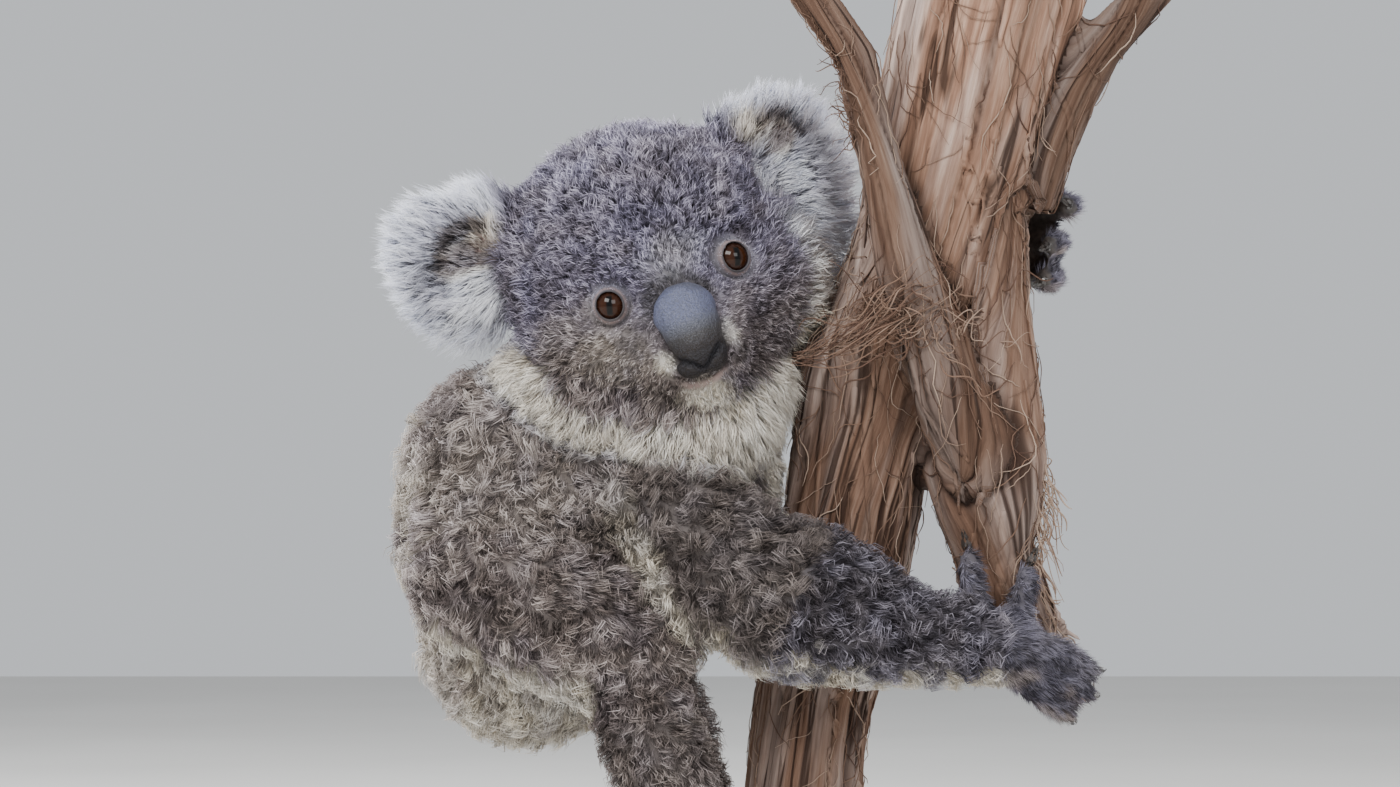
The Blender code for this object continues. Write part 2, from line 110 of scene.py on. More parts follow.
# ---- the coat, by part of the body ----
# depth: how far the skin lies inside the tips; length, width and lift (degrees) of a tuft;
# dense: tufts per square millimetre; curl: how much a tuft hooks; lock: the size of the locks that the
# tufts gather in; stray: the degrees that a lock turns from the coat's lie; pull: how closely it gathers;
# loose: how much each tuft goes its own way; speckle: how much its shade differs from the next.
# BODY_TUFTS is what three rows share, from length on.
COAT_KEYS = "depth length width lift dense curl lock stray pull loose speckle".split()
BODY_TUFTS = (9.4, 0.49, 39, 2.05, 0.74, 5.8, 27, 0.76, 0.22, 0.46)
COAT_ROWS = {
    "head": (4.0, 6.7, 0.42, 38, 2.85, 0.44, 2.6, 18, 0.44, 0.24, 1.12),
    "ear": (5.5, 11.8, 0.36, 23, 2.55, 0.20, 3.0, 10, 0.45, 0.09, 0.4),
    "neck": (6.5, 12.5, 0.46, 30, 2.3, 0.30, 4.0, 16, 0.45, 0.16, 0.5),
    "torso": (8.0, *BODY_TUFTS),
    "upper_arm": (7.5, *BODY_TUFTS),
    "forearm": (5.5, 8.2, 0.50, 39, 2.15, 0.82, 5.0, 30, 0.76, 0.22, 0.95),
    "hand": (1.4, 5.4, 0.46, 24, 2.1, 0.20, 3.0, 18, 0.42, 0.16, 1.15),
    "thigh": (8.0, *BODY_TUFTS),
    "shank": (5.5, 8.2, 0.50, 39, 2.05, 0.74, 5.0, 27, 0.76, 0.22, 0.50),
    "foot": (1.4, 5.4, 0.48, 24, 2.0, 0.20, 3.0, 18, 0.42, 0.16, 1.10),
}
COAT = {part: dict(zip(COAT_KEYS, row)) for part, row in COAT_ROWS.items()}
SIDES = ("left", "right")
LIMB_CHAINS = (("upper_arm", "forearm", "hand"), ("thigh", "shank", "foot"))
BODY_BENDS = 0.25  # the share of the body's tufts that are hooked spindles
PATCH = 0.003  # the size of a tuft's patch on the OFBake map
TUFT_SHARE = 1.0
FLESH = ["head", "ear_left", "ear_right", "neck", "torso"] + [
    f"{part}_{side}" for side in SIDES for chain in LIMB_CHAINS for part in chain
]
SKIN_VOXEL = 2.0
PERCH = ("perch_trunk", "perch_stem", "perch_shoot", "perch_branch")
PERCH_VOXEL = 1.7
# Painted light on the bark: the trunk brighter towards its top, and the stem, shoot and branch each painted
# to its own brightness.
TRUNK_LIT = ((250, 330, 400, 450), (0.80, 0.86, 1.22, 1.62))  # the trunk's brightness by height
OTHERS_LIT = (0.91, 0.65, 0.58)  # the stem's, shoot's and branch's
HASH_STEPS = (374761393, 668265263, 2147483647)
HASH_SEED_STEP, HASH_MIX = 974634777, 1274126177


# ================= small tools =================
def unit(v):
    v = np.asarray(v, float)
    return v / np.maximum(np.linalg.norm(v, axis=-1, keepdims=True), 1e-9)


def ramp(x, low, high):
    """0 below low, 1 above high, and smooth between; low may be above high."""
    t = np.clip((x - low) / (high - low), 0, 1)
    return t * t * (3 - 2 * t)


def hashed(cell, seed):
    """A repeatable number from 0 to 1 for each integer cell."""
    n = sum(cell[..., axis] * step for axis, step in enumerate(HASH_STEPS)) + seed * HASH_SEED_STEP
    n = (n ^ (n >> 13)) * HASH_MIX
    return ((n ^ (n >> 16)) & 0xFFFFFF) / 0xFFFFFF


def bell(x):
    """1 at 0, and less on both sides."""
    return np.exp(-(x**2))


def linked(name, data):
    """An object of that data, in the scene."""
    obj = bpy.data.objects.new(name, data)
    bpy.context.scene.collection.objects.link(obj)
    return obj


def noise(p, size, seed=0):
    """Smooth noise from 0 to 1 whose blobs are about that size; size may be one number per axis."""
    q = np.asarray(p, float) / np.asarray(size, float)
    cell = np.floor(q).astype(np.int64)
    f = q - cell
    f = f * f * (3 - 2 * f)
    total = np.zeros(len(q))
    for corner in np.ndindex(2, 2, 2):
        weight = np.prod(np.where(np.array(corner) == 1, f, 1 - f), axis=-1)
        total += weight * hashed(cell + np.array(corner), seed)
    return total


def middle(node):
    low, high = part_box(node)
    return np.array((low + high) / 2) / MM


def span(node):
    low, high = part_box(node)
    return np.array(high - low) / MM


def mesh_from(name, points, triangles, smooth=True):
    """A mesh object from points in millimetres and triangles."""
    mesh, count = bpy.data.meshes.new(name), len(triangles)
    mesh.vertices.add(len(points))
    mesh.vertices.foreach_set("co", (np.asarray(points) * MM).astype(np.float32).ravel())
    mesh.loops.add(3 * count)
    mesh.loops.foreach_set("vertex_index", np.asarray(triangles, np.int32).ravel())
    mesh.polygons.add(count)
    mesh.polygons.foreach_set("loop_start", np.arange(0, 3 * count, 3, dtype=np.int32))
    mesh.update(calc_edges=True)
    mesh.polygons.foreach_set("use_smooth", np.full(count, smooth))
    return linked(name, mesh)


def move_points(mesh, points):
    mesh.vertices.foreach_set("co", (points * MM).astype(np.float32).ravel())
    mesh.update()
    mesh.shade_smooth()


def points_of(mesh):
    out = np.empty(len(mesh.vertices) * 3, np.float32)
    mesh.vertices.foreach_get("co", out)
    return out.reshape(-1, 3).astype(float) / MM


def triangles_of(mesh):
    mesh.calc_loop_triangles()
    out = np.empty(len(mesh.loop_triangles) * 3, np.int32)
    mesh.loop_triangles.foreach_get("vertices", out)
    return out.reshape(-1, 3)


def tree_of(*nodes):
    """A search tree of the nodes' faces, and the place in the list of the node that each face is from."""
    corners, faces, owner = [], [], []
    for index, node in enumerate(nodes):
        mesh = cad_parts[node].data
        rows = triangles_of(mesh) + len(corners)
        corners += [tuple(v) for v in points_of(mesh)]
        faces += rows.tolist()
        owner += [index] * len(rows)
    return BVHTree.FromPolygons(corners, faces), np.array(owner)


def edges_of(triangles):
    pairs = np.concatenate([triangles[:, [0, 1]], triangles[:, [1, 2]], triangles[:, [2, 0]]])
    return np.unique(np.sort(pairs, axis=1), axis=0)


def normals_of(points, triangles):
    """Area-weighted vertex normals."""
    a, b, c = (points[triangles[:, i]] for i in range(3))
    face = np.cross(b - a, c - a)
    out = np.zeros_like(points)
    for i in range(3):
        for axis in range(3):
            out[:, axis] += np.bincount(triangles[:, i], face[:, axis], len(points))
    return unit(out)


def spread(values, edges, rounds, rate=0.5):
    """Averages each row of values with its neighbours', that many times."""
    out = np.array(values, float)
    flat = out.reshape(len(out), -1)
    count = np.bincount(edges.ravel(), minlength=len(out)).astype(float)
    a, b = edges.T
    for _ in range(rounds):
        for column in range(flat.shape[1]):
            v = flat[:, column]
            total = np.bincount(a, v[b], len(v)) + np.bincount(b, v[a], len(v))
            flat[:, column] = v + rate * (total / np.maximum(count, 1) - v)
    return flat.reshape(out.shape)


def add_values(mesh, name, values):
    """Stores a number, or four as a colour, on each vertex."""
    values = np.asarray(values, np.float32)
    if values.ndim == 1:
        mesh.attributes.new(name, "FLOAT", "POINT").data.foreach_set("value", values)
    else:
        mesh.attributes.new(name, "FLOAT_COLOR", "POINT").data.foreach_set("color", values.ravel())


def add_vectors(mesh, name, values):
    data = mesh.attributes.new(name, "FLOAT_VECTOR", "POINT").data
    data.foreach_set("vector", np.asarray(values, np.float32).ravel())


def fused_nodes(name, nodes, grow, voxel, rounds):
    """One closed surface round the CAD nodes: each is grown to close the gaps between them, then all are
    remeshed and smoothed."""
    form = bmesh.new()
    for node in nodes:
        part = bmesh.new()
        part.from_mesh(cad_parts[node].data)
        bmesh.ops.remove_doubles(part, verts=part.verts, dist=0.02 * MM)
        part.normal_update()
        for vertex in part.verts:
            vertex.co += vertex.normal * grow * MM
        grown = bpy.data.meshes.new("grown")
        part.to_mesh(grown)
        part.free()
        form.from_mesh(grown)
        bpy.data.meshes.remove(grown)
    mesh = bpy.data.meshes.new(name)
    form.to_mesh(mesh)
    form.free()
    obj = linked(name, mesh)
    remesh = obj.modifiers.new("fuse", "REMESH")
    remesh.mode = "VOXEL"
    remesh.voxel_size = voxel * MM
    smooth = obj.modifiers.new("soften", "SMOOTH")
    smooth.iterations = rounds
    graph = bpy.context.evaluated_depsgraph_get()
    graph.update()
    obj.data = bpy.data.meshes.new_from_object(obj.evaluated_get(graph))
    obj.modifiers.clear()
    return obj


def subdivided_near(obj, centres, radius, passes):
    """Splits the faces within that distance of the centres, to leave room for fine shapes."""
    for _ in range(passes):
        form = bmesh.new()
        form.from_mesh(obj.data)
        bmesh.ops.triangulate(form, faces=form.faces)
        spots = [Vector(centre) * MM for centre in centres]
        close = [e for e in form.edges if min((e.verts[0].co - s).length for s in spots) < radius * MM]
        bmesh.ops.subdivide_edges(form, edges=close, cuts=1, use_grid_fill=True)
        bmesh.ops.triangulate(form, faces=form.faces)
        form.to_mesh(obj.data)
        form.free()


# ================= the head's frame =================
EYES = {side: middle(f"eye_{side}") for side in SIDES}
EYE_RADIUS = float(span("eye_left").mean()) / 2
TURN = np.array(
    Matrix.Rotation(math.radians(HEAD_YAW), 3, "Z") @ Matrix.Rotation(math.radians(HEAD_ROLL), 3, "Y")
)
HEAD_ZERO = (EYES["left"] + EYES["right"]) / 2 - TURN @ np.array([0, EYE_DEPTH, 0])


def to_head(points):
    return (np.asarray(points) - HEAD_ZERO) @ TURN


def from_head(points):
    return np.asarray(points) @ TURN.T + HEAD_ZERO


def head_way(vectors):
    return np.asarray(vectors, float) @ TURN.T


def eye_axes(side):
    """Across, up and ahead for an eye, in the model's frame."""
    sign = 1 if side == "left" else -1
    out = math.radians(GAZE_OUT)
    gaze = head_way([sign * math.sin(out), -math.cos(out), 0.06])
    across = unit(np.cross(head_way([0, 0, 1]), gaze))
    return across, np.cross(gaze, across), gaze


# ================= materials =================
class Nodes:
    """Short calls for building a material's nodes."""

    def __init__(self, name):
        self.material = bpy.data.materials.new(name)
        self.material.use_nodes = True
        self.tree = self.material.node_tree
        self.shader = self.tree.nodes["Principled BSDF"]

    def add(self, kind, inputs, **settings):
        node = self.tree.nodes.new("ShaderNode" + kind)
        for key, value in settings.items():
            setattr(node, key, value)
        for key, value in inputs.items():
            self.put(node.inputs[key], value)
        return node

    def put(self, socket, value):
        """Links a socket, or sets it to a constant."""
        if isinstance(value, bpy.types.NodeSocket):
            self.tree.links.new(value, socket)
        elif socket.type == "RGBA":
            socket.default_value = (*value, 1.0)
        else:
            socket.default_value = value

    def math(self, operation, a, b=0.0, clamp=False):
        return self.add("Math", {0: a, 1: b}, operation=operation, use_clamp=clamp).outputs[0]

    def sum(self, a, b, clamp=False):
        return self.math("ADD", a, b, clamp)

    def times(self, a, b):
        return self.math("MULTIPLY", a, b)

    def mix(self, factor, a, b, blend="MIX"):
        inputs = {"Factor": factor, "A": a, "B": b}
        return self.add("Mix", inputs, data_type="RGBA", blend_type=blend).outputs["Result"]

    def ramp(self, value, *stops):
        """A colour ramp through the stops: each is a place and its red, green and blue."""
        node = self.add("ValToRGB", {0: value})
        elements = node.color_ramp.elements
        while len(elements) < len(stops):
            elements.new(0.5)
        for element, (place, *colour) in zip(elements, stops):
            element.position = place
            element.color = (*colour, 1.0)
        return node.outputs[0]

    def remap(self, value, low, high, to_low=0.0, to_high=1.0):
        inputs = {"Value": value, "From Min": low, "From Max": high, "To Min": to_low, "To Max": to_high}
        return self.add("MapRange", inputs).outputs["Result"]

    def stored(self, name, output="Fac"):
        """The value stored on the mesh under that name."""
        return self.add("Attribute", {}, attribute_name=name).outputs[output]

    def split(self, name):
        """The three values stored on the mesh as one colour."""
        return self.add("SeparateColor", {0: self.stored(name, "Color")}).outputs

    def place(self, scale=(1, 1, 1), stored=None):
        """Object coordinates, or the ones stored on the mesh under that name, stretched."""
        where = self.stored(stored, "Vector") if stored else self.add("TexCoord", {}).outputs["Object"]
        return self.add("Mapping", {"Vector": where, "Scale": scale}).outputs["Vector"]

    def noise(self, scale, detail=4.0, rough=0.5, where=None):
        where = where or self.place()
        inputs = {"Scale": scale, "Detail": detail, "Roughness": rough, "Vector": where}
        return self.add("TexNoise", inputs).outputs["Fac"]

    def grained(self, scale, detail, rough, stretch):
        """Noise drawn out along the wood's grain."""
        return self.noise(scale, detail, rough, self.place((1, 1, stretch), "grain"))

    def bump(self, height, strength, distance):
        inputs = {"Strength": strength, "Distance": distance * MM, "Height": height}
        self.put(self.shader.inputs["Normal"], self.add("Bump", inputs).outputs["Normal"])

    def finish(self, colour, rough, **others):
        """Sets the shader's inputs. The others are named with _ for each space."""
        for key, value in {"Base_Color": colour, "Roughness": rough, **others}.items():
            self.put(self.shader.inputs[key.replace("_", " ")], value)
        return self.material


def coat_material(name, skin=False):
    """Fur, or the skin under it. Both take their markings from the values stored on the mesh:
    mark holds pale, dark, warm and tip; tone is each tuft's own shade."""
    m = Nodes(name)
    pale, dark, warm = m.split("mark")
    shade = m.sum(m.times(m.stored("tone"), 0.75), m.times(m.noise(90, 3), 0.35), clamp=True)
    # The blue in the grey and in the cool white is partly the coat's own colour, partly the sky's blue light
    # painted in.
    grey = m.ramp(shade, (0.12, 0.030, 0.026, 0.040), (0.5, 0.120, 0.107, 0.168), (0.95, 0.53, 0.50, 0.67))
    brown = m.ramp(shade, (0.12, 0.056, 0.044, 0.040), (0.5, 0.218, 0.174, 0.158), (0.95, 0.62, 0.54, 0.50))
    black = m.ramp(shade, (0.1, 0.009, 0.008, 0.010), (0.5, 0.065, 0.062, 0.076), (0.95, 0.235, 0.228, 0.272))
    umber = m.ramp(shade, (0.1, 0.022, 0.016, 0.013), (0.95, 0.170, 0.142, 0.130))
    cool = m.ramp(shade, (0.0, 0.42, 0.44, 0.56), (0.5, 0.76, 0.79, 0.91), (1.0, 0.94, 0.95, 0.98))
    cream = m.ramp(shade, (0.0, 0.50, 0.42, 0.31), (0.5, 0.86, 0.78, 0.64), (1.0, 0.96, 0.93, 0.86))
    colour = m.mix(dark, m.mix(warm, grey, brown), m.mix(warm, black, umber))
    colour = m.mix(pale, colour, m.mix(warm, cool, cream))
    if skin:
        flesh = m.ramp(m.noise(260, 5), (0.3, 0.21, 0.138, 0.125), (0.7, 0.36, 0.250, 0.222))
        # The skin is darkened by half under the coat: painted shade between the tufts; bare places take the
        # flesh colour.
        colour = m.mix(m.stored("bare"), m.mix(0.50, colour, (0.030, 0.025, 0.024)), flesh)
        hide = m.ramp(m.noise(420, 6), (0.3, 0.022, 0.018, 0.017), (0.75, 0.085, 0.070, 0.062))
        pad = m.stored("pad")
        m.bump(m.noise(1500, 6, 0.6), 0.5, 0.4)
        return m.finish(m.mix(pad, colour, hide), m.remap(pad, 0.0, 1.0, 0.75, 0.42))
    tip = m.stored("mark", "Alpha")
    # Darker towards the root: painted shade deep in the coat, lighter for pale fur. Lighter towards the tip:
    # partly the hairs' own paler tips, partly painted light.
    root = m.mix(1.0, colour, m.mix(pale, (0.32, 0.30, 0.31), (0.80, 0.78, 0.78)), "MULTIPLY")
    light = m.mix(1.0, colour, (1.22, 1.22, 1.22), "MULTIPLY")
    along = m.mix(m.remap(tip, 0.0, 0.6), root, colour)
    return m.finish(m.mix(m.remap(tip, 0.55, 1.0), along, light), 0.62, Specular_IOR_Level=0.25)


def eye_material():
    """A dark brown iris round an upright slit, under a wet clear coat. The values are stored on the mesh:
    mark holds the distance from the gaze, the slit, and the rays."""
    m = Nodes("eye_wet")
    out, slit, rays = m.split("mark")
    iris = m.ramp(out, (0.0, 0.014, 0.004, 0.002), (0.45, 0.030, 0.009, 0.003), (0.72, 0.010, 0.003, 0.002))
    iris = m.mix(m.times(rays, 0.30), iris, (0.050, 0.018, 0.007))
    colour = m.mix(slit, iris, (0.001, 0.001, 0.001))
    colour = m.mix(m.remap(out, 0.74, 0.86), colour, (0.010, 0.006, 0.005))
    wet = {"Coat_Weight": 1.0, "Coat_IOR": 1.33, "Coat_Roughness": 0.02}
    return m.finish(colour, 0.4, Specular_IOR_Level=0.0, **wet)


def nose_material():
    """Dark leather with fine bumps, paler and bluer towards the top in a painted reflection of the sky."""
    m = Nodes("nose_leather_detail")
    up = m.stored("up")
    bumps = m.add("TexVoronoi", {"Scale": 1250, "Vector": m.place()}).outputs["Distance"]
    fine = m.noise(2600, 4)
    # The pale blue at the top of this ramp is a painted reflection of the sky.
    leather = m.ramp(
        up, (0.0, 0.005, 0.003, 0.002), (0.25, 0.019, 0.012, 0.006), (0.55, 0.043, 0.038, 0.035),
        (0.8, 0.080, 0.086, 0.122), (1.0, 0.124, 0.140, 0.250),
    )
    # Painted shade in the grooves between the bumps.
    colour = m.mix(m.remap(bumps, 0.0, 0.7, 0.0, 0.58), leather, (0.030, 0.030, 0.036))
    specks = m.times(m.remap(fine, 0.50, 0.72, 0.0, 0.50), m.remap(up, 0.2, 0.7, 0.3, 1.0))
    m.bump(m.sum(m.times(bumps, -1.0), m.times(fine, 0.4)), 0.8, 0.5)
    shine = m.remap(up, 0.3, 0.8, 0.14, 0.5)
    colour = m.mix(specks, colour, (0.22, 0.23, 0.28))
    return m.finish(colour, m.remap(fine, 0.3, 0.7, 0.34, 0.5), Specular_IOR_Level=shine)


def claw_material():
    m = Nodes("claw_horn_detail")
    lines = m.noise(900, 4, 0.6, m.place((1, 1, 0.15)))
    m.bump(lines, 0.3, 0.15)
    return m.finish(m.ramp(lines, (0.3, 0.014, 0.012, 0.012), (0.7, 0.060, 0.050, 0.044)), 0.34)


def bark_material(name, lift=1.0):
    """Stringy bark: reddish brown ridges, grey-pink worn faces, painted shade in the grooves, and bare wood
    at the cuts.
    """
    m = Nodes(name)
    grain = m.grained(420, 8, 0.62, 0.05)
    red = m.ramp(
        grain, (0.25, 0.070, 0.036, 0.024), (0.48, 0.195, 0.110, 0.074), (0.62, 0.28, 0.175, 0.125),
        (0.8, 0.42, 0.30, 0.235),
    )
    worn = m.ramp(grain, (0.28, 0.17, 0.115, 0.095), (0.5, 0.33, 0.245, 0.208), (0.75, 0.47, 0.375, 0.33))
    colour = m.mix(m.remap(m.grained(60, 4, 0.5, 0.13), 0.46, 0.62), red, worn)
    # Painted light: the bark lighter up the trunk and darker on the stem, shoot and branch.
    colour = m.mix(1.0, colour, m.stored("lit"), "MULTIPLY")
    # Painted shade in the grooves, low places and creases.
    colour = m.mix(m.times(m.stored("recess_shade"), 0.9), colour, (0.028, 0.014, 0.010))
    off = m.math("ABSOLUTE", m.sum(m.grained(85, 2.5, 0.5, 0.045), -0.5))
    fade = m.remap(m.grained(60, 2, 0.5, 0.25), 0.44, 0.60, 0.0, 0.04)
    crack = m.remap(m.sum(off, fade), 0.010, 0.034, 1.0, 0.0)
    # The cracks darkened: painted shade in them.
    colour = m.mix(m.times(crack, 0.88), colour, (0.030, 0.015, 0.010))
    wave = m.math("SINE", m.sum(m.times(m.stored("ring"), 2.6), m.times(m.noise(30, 3), 9.0)))
    wood = m.ramp(m.remap(wave, -1.0, 1.0), (0.0, 0.25, 0.150, 0.085), (1.0, 0.44, 0.305, 0.190))
    height = m.sum(grain, m.times(m.grained(1500, 5, 0.6, 0.05), 0.5))
    m.bump(m.sum(height, m.times(crack, -1.6)), 0.8 * lift, 1.2)
    return m.finish(m.mix(m.stored("cut"), colour, wood), 0.86, Specular_IOR_Level=0.2)


def fibre_material():
    m = Nodes("bark_fibre")
    stops = (0.0, 0.080, 0.042, 0.030), (0.5, 0.20, 0.122, 0.086), (1.0, 0.42, 0.31, 0.24)
    return m.finish(m.ramp(m.stored("tone"), *stops), 0.8, Specular_IOR_Level=0.2)


def board_material():
    """Satin paint over board, with a faint brushed grain."""
    m = Nodes("stand_board_paint")
    grain = m.noise(60, 6, 0.55, m.place((1, 9, 9)))
    speck = m.noise(900, 4)
    m.bump(m.sum(m.times(grain, 0.5), m.times(speck, 0.5)), 0.12, 0.3)
    colour = m.ramp(grain, (0.3, 0.115, 0.112, 0.108), (0.7, 0.150, 0.146, 0.140))
    return m.finish(colour, m.remap(speck, 0.3, 0.7, 0.36, 0.46))


def steel_material():
    m = Nodes("stand_steel_brushed")
    lines = m.noise(500, 4, 0.5, m.place((1, 1, 0.02)))
    m.bump(lines, 0.1, 0.1)
    return m.finish(m.ramp(lines, (0.3, 0.50, 0.50, 0.51), (0.7, 0.66, 0.66, 0.67)), 0.3, Metallic=1.0)


def floor_material():
    m = Nodes("studio_floor")
    return m.finish(m.ramp(m.noise(3, 3), (0.3, 0.60, 0.59, 0.57), (0.7, 0.64, 0.63, 0.61)), 0.85)


def wear(obj, material):
    obj.data.materials.clear()
    obj.data.materials.append(material)


def dress(obj, material, slot, *replaced):
    """Gives a piece its material and its body, and hides the CAD nodes that it stands for; its slot is not
    used.
    """
    wear(obj, material)
    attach(obj, "root")
    if replaced:
        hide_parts(*replaced)
    return obj


# ================= skin =================
def part_of(node):
    """The coat table's name for a node: ear_left gives ear."""
    return node.removesuffix("_left").removesuffix("_right")


def share_of(share, node):
    return share[:, FLESH.index(node)]


def coat_values(share, key):
    """A measure of the coat table at points with those shares."""
    return share @ np.array([COAT[part_of(node)][key] for node in FLESH], float)


class Skin:
    """The one skin: points, triangles, normals, each part's share of every point, and the coat's lie."""

    def __init__(self):
        self.obj = fused_nodes("skin", FLESH, grow=0.55, voxel=SKIN_VOXEL, rounds=3)
        self.shape_depth()
        subdivided_near(self.obj, EYES.values(), radius=12.5, passes=2)
        subdivided_near(self.obj, (from_head(NOSE_AT), from_head(MOUTH_AT)), radius=19.0, passes=1)
        self.read()
        self.share = self.shares(3)
        self.model_face()
        self.normals = normals_of(self.points, self.triangles)
        self.pad = self.pads()
        self.flow = self.lie()

    def read(self):
        self.points = points_of(self.obj.data)
        self.triangles = triangles_of(self.obj.data)
        self.edges = edges_of(self.triangles)

    def soften(self, rounds, share):
        """Moves the points by that share of the way to where smoothing puts them."""
        self.points += (spread(self.points, self.edges, rounds) - self.points) * share[:, None]

    def shares(self, rounds):
        """How much each flesh node has of each point, blurred across the joins."""
        tree, owner = tree_of(*FLESH)
        found = [tree.find_nearest(Vector(p))[2] for p in self.points]
        return spread(np.eye(len(FLESH))[owner[found]], self.edges, rounds)

    def shape_depth(self):
        """Smooths all but the paws, then sinks the surface by the coat's depth, less on the face."""
        self.read()
        share = self.shares(16)
        paws = share[:, [i for i, node in enumerate(FLESH) if part_of(node) in ("hand", "foot")]].sum(1)
        for _ in range(14):
            self.soften(1, ramp(paws, 0.6, 0.15))
        depth = spread(coat_values(share, "depth") * face_shortness(self.points), self.edges, 12)
        for _ in range(6):
            self.points -= normals_of(self.points, self.triangles) * (depth / 6)[:, None]
            self.soften(2, ramp(paws, 0.9, 0.3))
        move_points(self.obj.data, self.points)

    def pads(self):
        """Bare leather on the palms and soles."""
        out = np.zeros(len(self.points))
        for node, way in PALMS.items():
            facing = self.normals @ unit(way)
            out = np.maximum(out, share_of(self.share, node) * ramp(facing, 0.15, 0.55))
        return out

    def model_face(self):
        """Lids round the eyes, the mouth's line, and a seat for the nose."""
        self.bare = np.zeros(len(self.points))
        self.rim = np.zeros(len(self.points))
        self.eye_near = np.full(len(self.points), 9.0)
        for side in SIDES:
            self.model_lids(side)
        self.fill_seat()
        self.model_mouth()
        self.points = spread(self.points, self.edges, 1, 0.25)
        move_points(self.obj.data, self.points)

    def model_lids(self, side):
        """Pulls the skin to a lid just over the ball, with a fold above it, and sinks it behind the opening.
        far is the distance from the eye's middle in shares of the opening."""
        across, up, gaze = eye_axes(side)
        off = self.points - EYES[side]
        ahead, aside, above = off @ gaze, off @ across, off @ up
        near = (np.linalg.norm(off, axis=1) < 22) & (ahead > -4)
        far = np.sqrt((aside / EYE_OPENING[0]) ** 2 + (above / EYE_OPENING[1]) ** 2)
        flat = np.sqrt(aside * aside + above * above)
        lid = np.sqrt(np.clip((EYE_RADIUS + 1.0) ** 2 - flat**2, 0.5, None))
        fold = 0.7 * bell((far - 1.5) / 0.16) * ramp(above, -1.0, 3.0)
        rimmed = lid + 0.35 * bell((far - 1.1) / 0.12) - fold
        hold = ramp(far, 2.15, 1.15)
        target = ahead * (1 - hold) + rimmed * hold
        inside = np.sqrt(np.clip((EYE_RADIUS - 1.2) ** 2 - flat**2, 0.2, None))
        target = np.where(far < 1.0, lid - (lid - inside) * ramp(far, 1.0, 0.9), target)
        self.points += np.where(near & (far < 2.3), target - ahead, 0.0)[:, None] * gaze
        self.bare = np.maximum(self.bare, np.where(near, 0.90 * ramp(far, 1.42, 1.10), 0))
        self.rim = np.maximum(self.rim, np.where(near, ramp(far, 1.22, 1.09), 0))
        self.eye_near = np.where(near, np.minimum(self.eye_near, far), self.eye_near)

    def fill_seat(self):
        """Levels the hollow that the nose's solid leaves, so that the muzzle closes round the nose."""
        tree, _ = tree_of("nose")
        gap = np.full(len(self.points), 9.0)
        for i in close_to_nose(self.points):
            gap[i] = tree.find_nearest(Vector(self.points[i]))[3]
        hold = spread(ramp(gap, 3.0, 1.2), self.edges, 2)
        for _ in range(60):
            self.soften(1, hold)

    def model_mouth(self):
        """A shallow line under the nose that curves up at its corners, and a soft lower lip."""
        head = to_head(self.points)
        x, y, z = head[:, 0] - MOUTH_AT[0], head[:, 1], head[:, 2]
        line = MOUTH_AT[2] + MOUTH_CURVE * x * x
        front = ramp(y, -24, -30) * (np.abs(x) < 24)
        self.mouth = bell((z - line) / 0.8) * ramp(np.abs(x), 17.5, 14.5) * front
        self.lip = bell((z - line + 2.4) / 1.6) * ramp(np.abs(x), 12, 6) * front
        out = normals_of(self.points, self.triangles)
        self.points += out * (-1.7 * self.mouth + 0.8 * self.lip)[:, None]
        self.bare = np.maximum(self.bare, 0.8 * self.lip)

    def lie(self):
        """The way the coat lies at each point, along the surface, and outwards round the eyes."""
        total = np.zeros_like(self.points)
        for index, node in enumerate(FLESH):
            total += self.share[:, index : index + 1] * unit(way_of_coat(node, self.points))
        total = unit(total)
        for side in SIDES:
            away = self.points - EYES[side]
            close = ramp(np.linalg.norm(away, axis=1), 15, 8)[:, None]
            total = total * (1 - close) + unit(away) * close
        for rounds in (4, 0):  # laid along the surface, blurred, and laid along it again
            total -= (total * self.normals).sum(1, keepdims=True) * self.normals
            total = spread(unit(total), self.edges, rounds)
        return total


def close_to_nose(points):
    """The rows of the points that may touch the nose."""
    return np.nonzero(np.linalg.norm(points - middle("nose"), axis=1) < 30)[0]


def way_of_coat(node, points):
    """The direction that a part's coat grows in, before it is laid along the surface."""
    part, side = part_of(node), node.rsplit("_", 1)[-1]
    if part == "head":
        away = unit(to_head(points) - np.array([0, -44.0, -14.0]))
        return head_way(away + np.array([0, 0.35, -0.10]))
    if part == "ear":
        to_root = np.array([-EARS[node]["side"] * 30.0, 4.0, -6.0])
        return points - from_head(np.array(EARS[node]["centre"]) + to_root)
    if part == "neck":
        return unit(points - from_head([0, -30, -40])) * 0.6 + np.array([0, 0, -1.0])
    if part == "torso":
        return np.array([-0.30, 0, -1.0])
    chain = next(chain for chain in LIMB_CHAINS if part in chain)
    first = min(chain.index(part), 1)
    way = middle(f"{chain[first + 1]}_{side}") - middle(f"{chain[first]}_{side}")
    return unit(way) + np.array([0, 0, -0.35])


def face_shortness(points):
    """The coat's length as a share of its full length: short round the nose and full at the crown."""
    head = to_head(points)
    away = np.linalg.norm((head - np.array([0, -46.0, -20.0])) * np.array([1, 0.8, 1]), axis=1)
    return 0.36 + 0.64 * ramp(away, 14, 70)


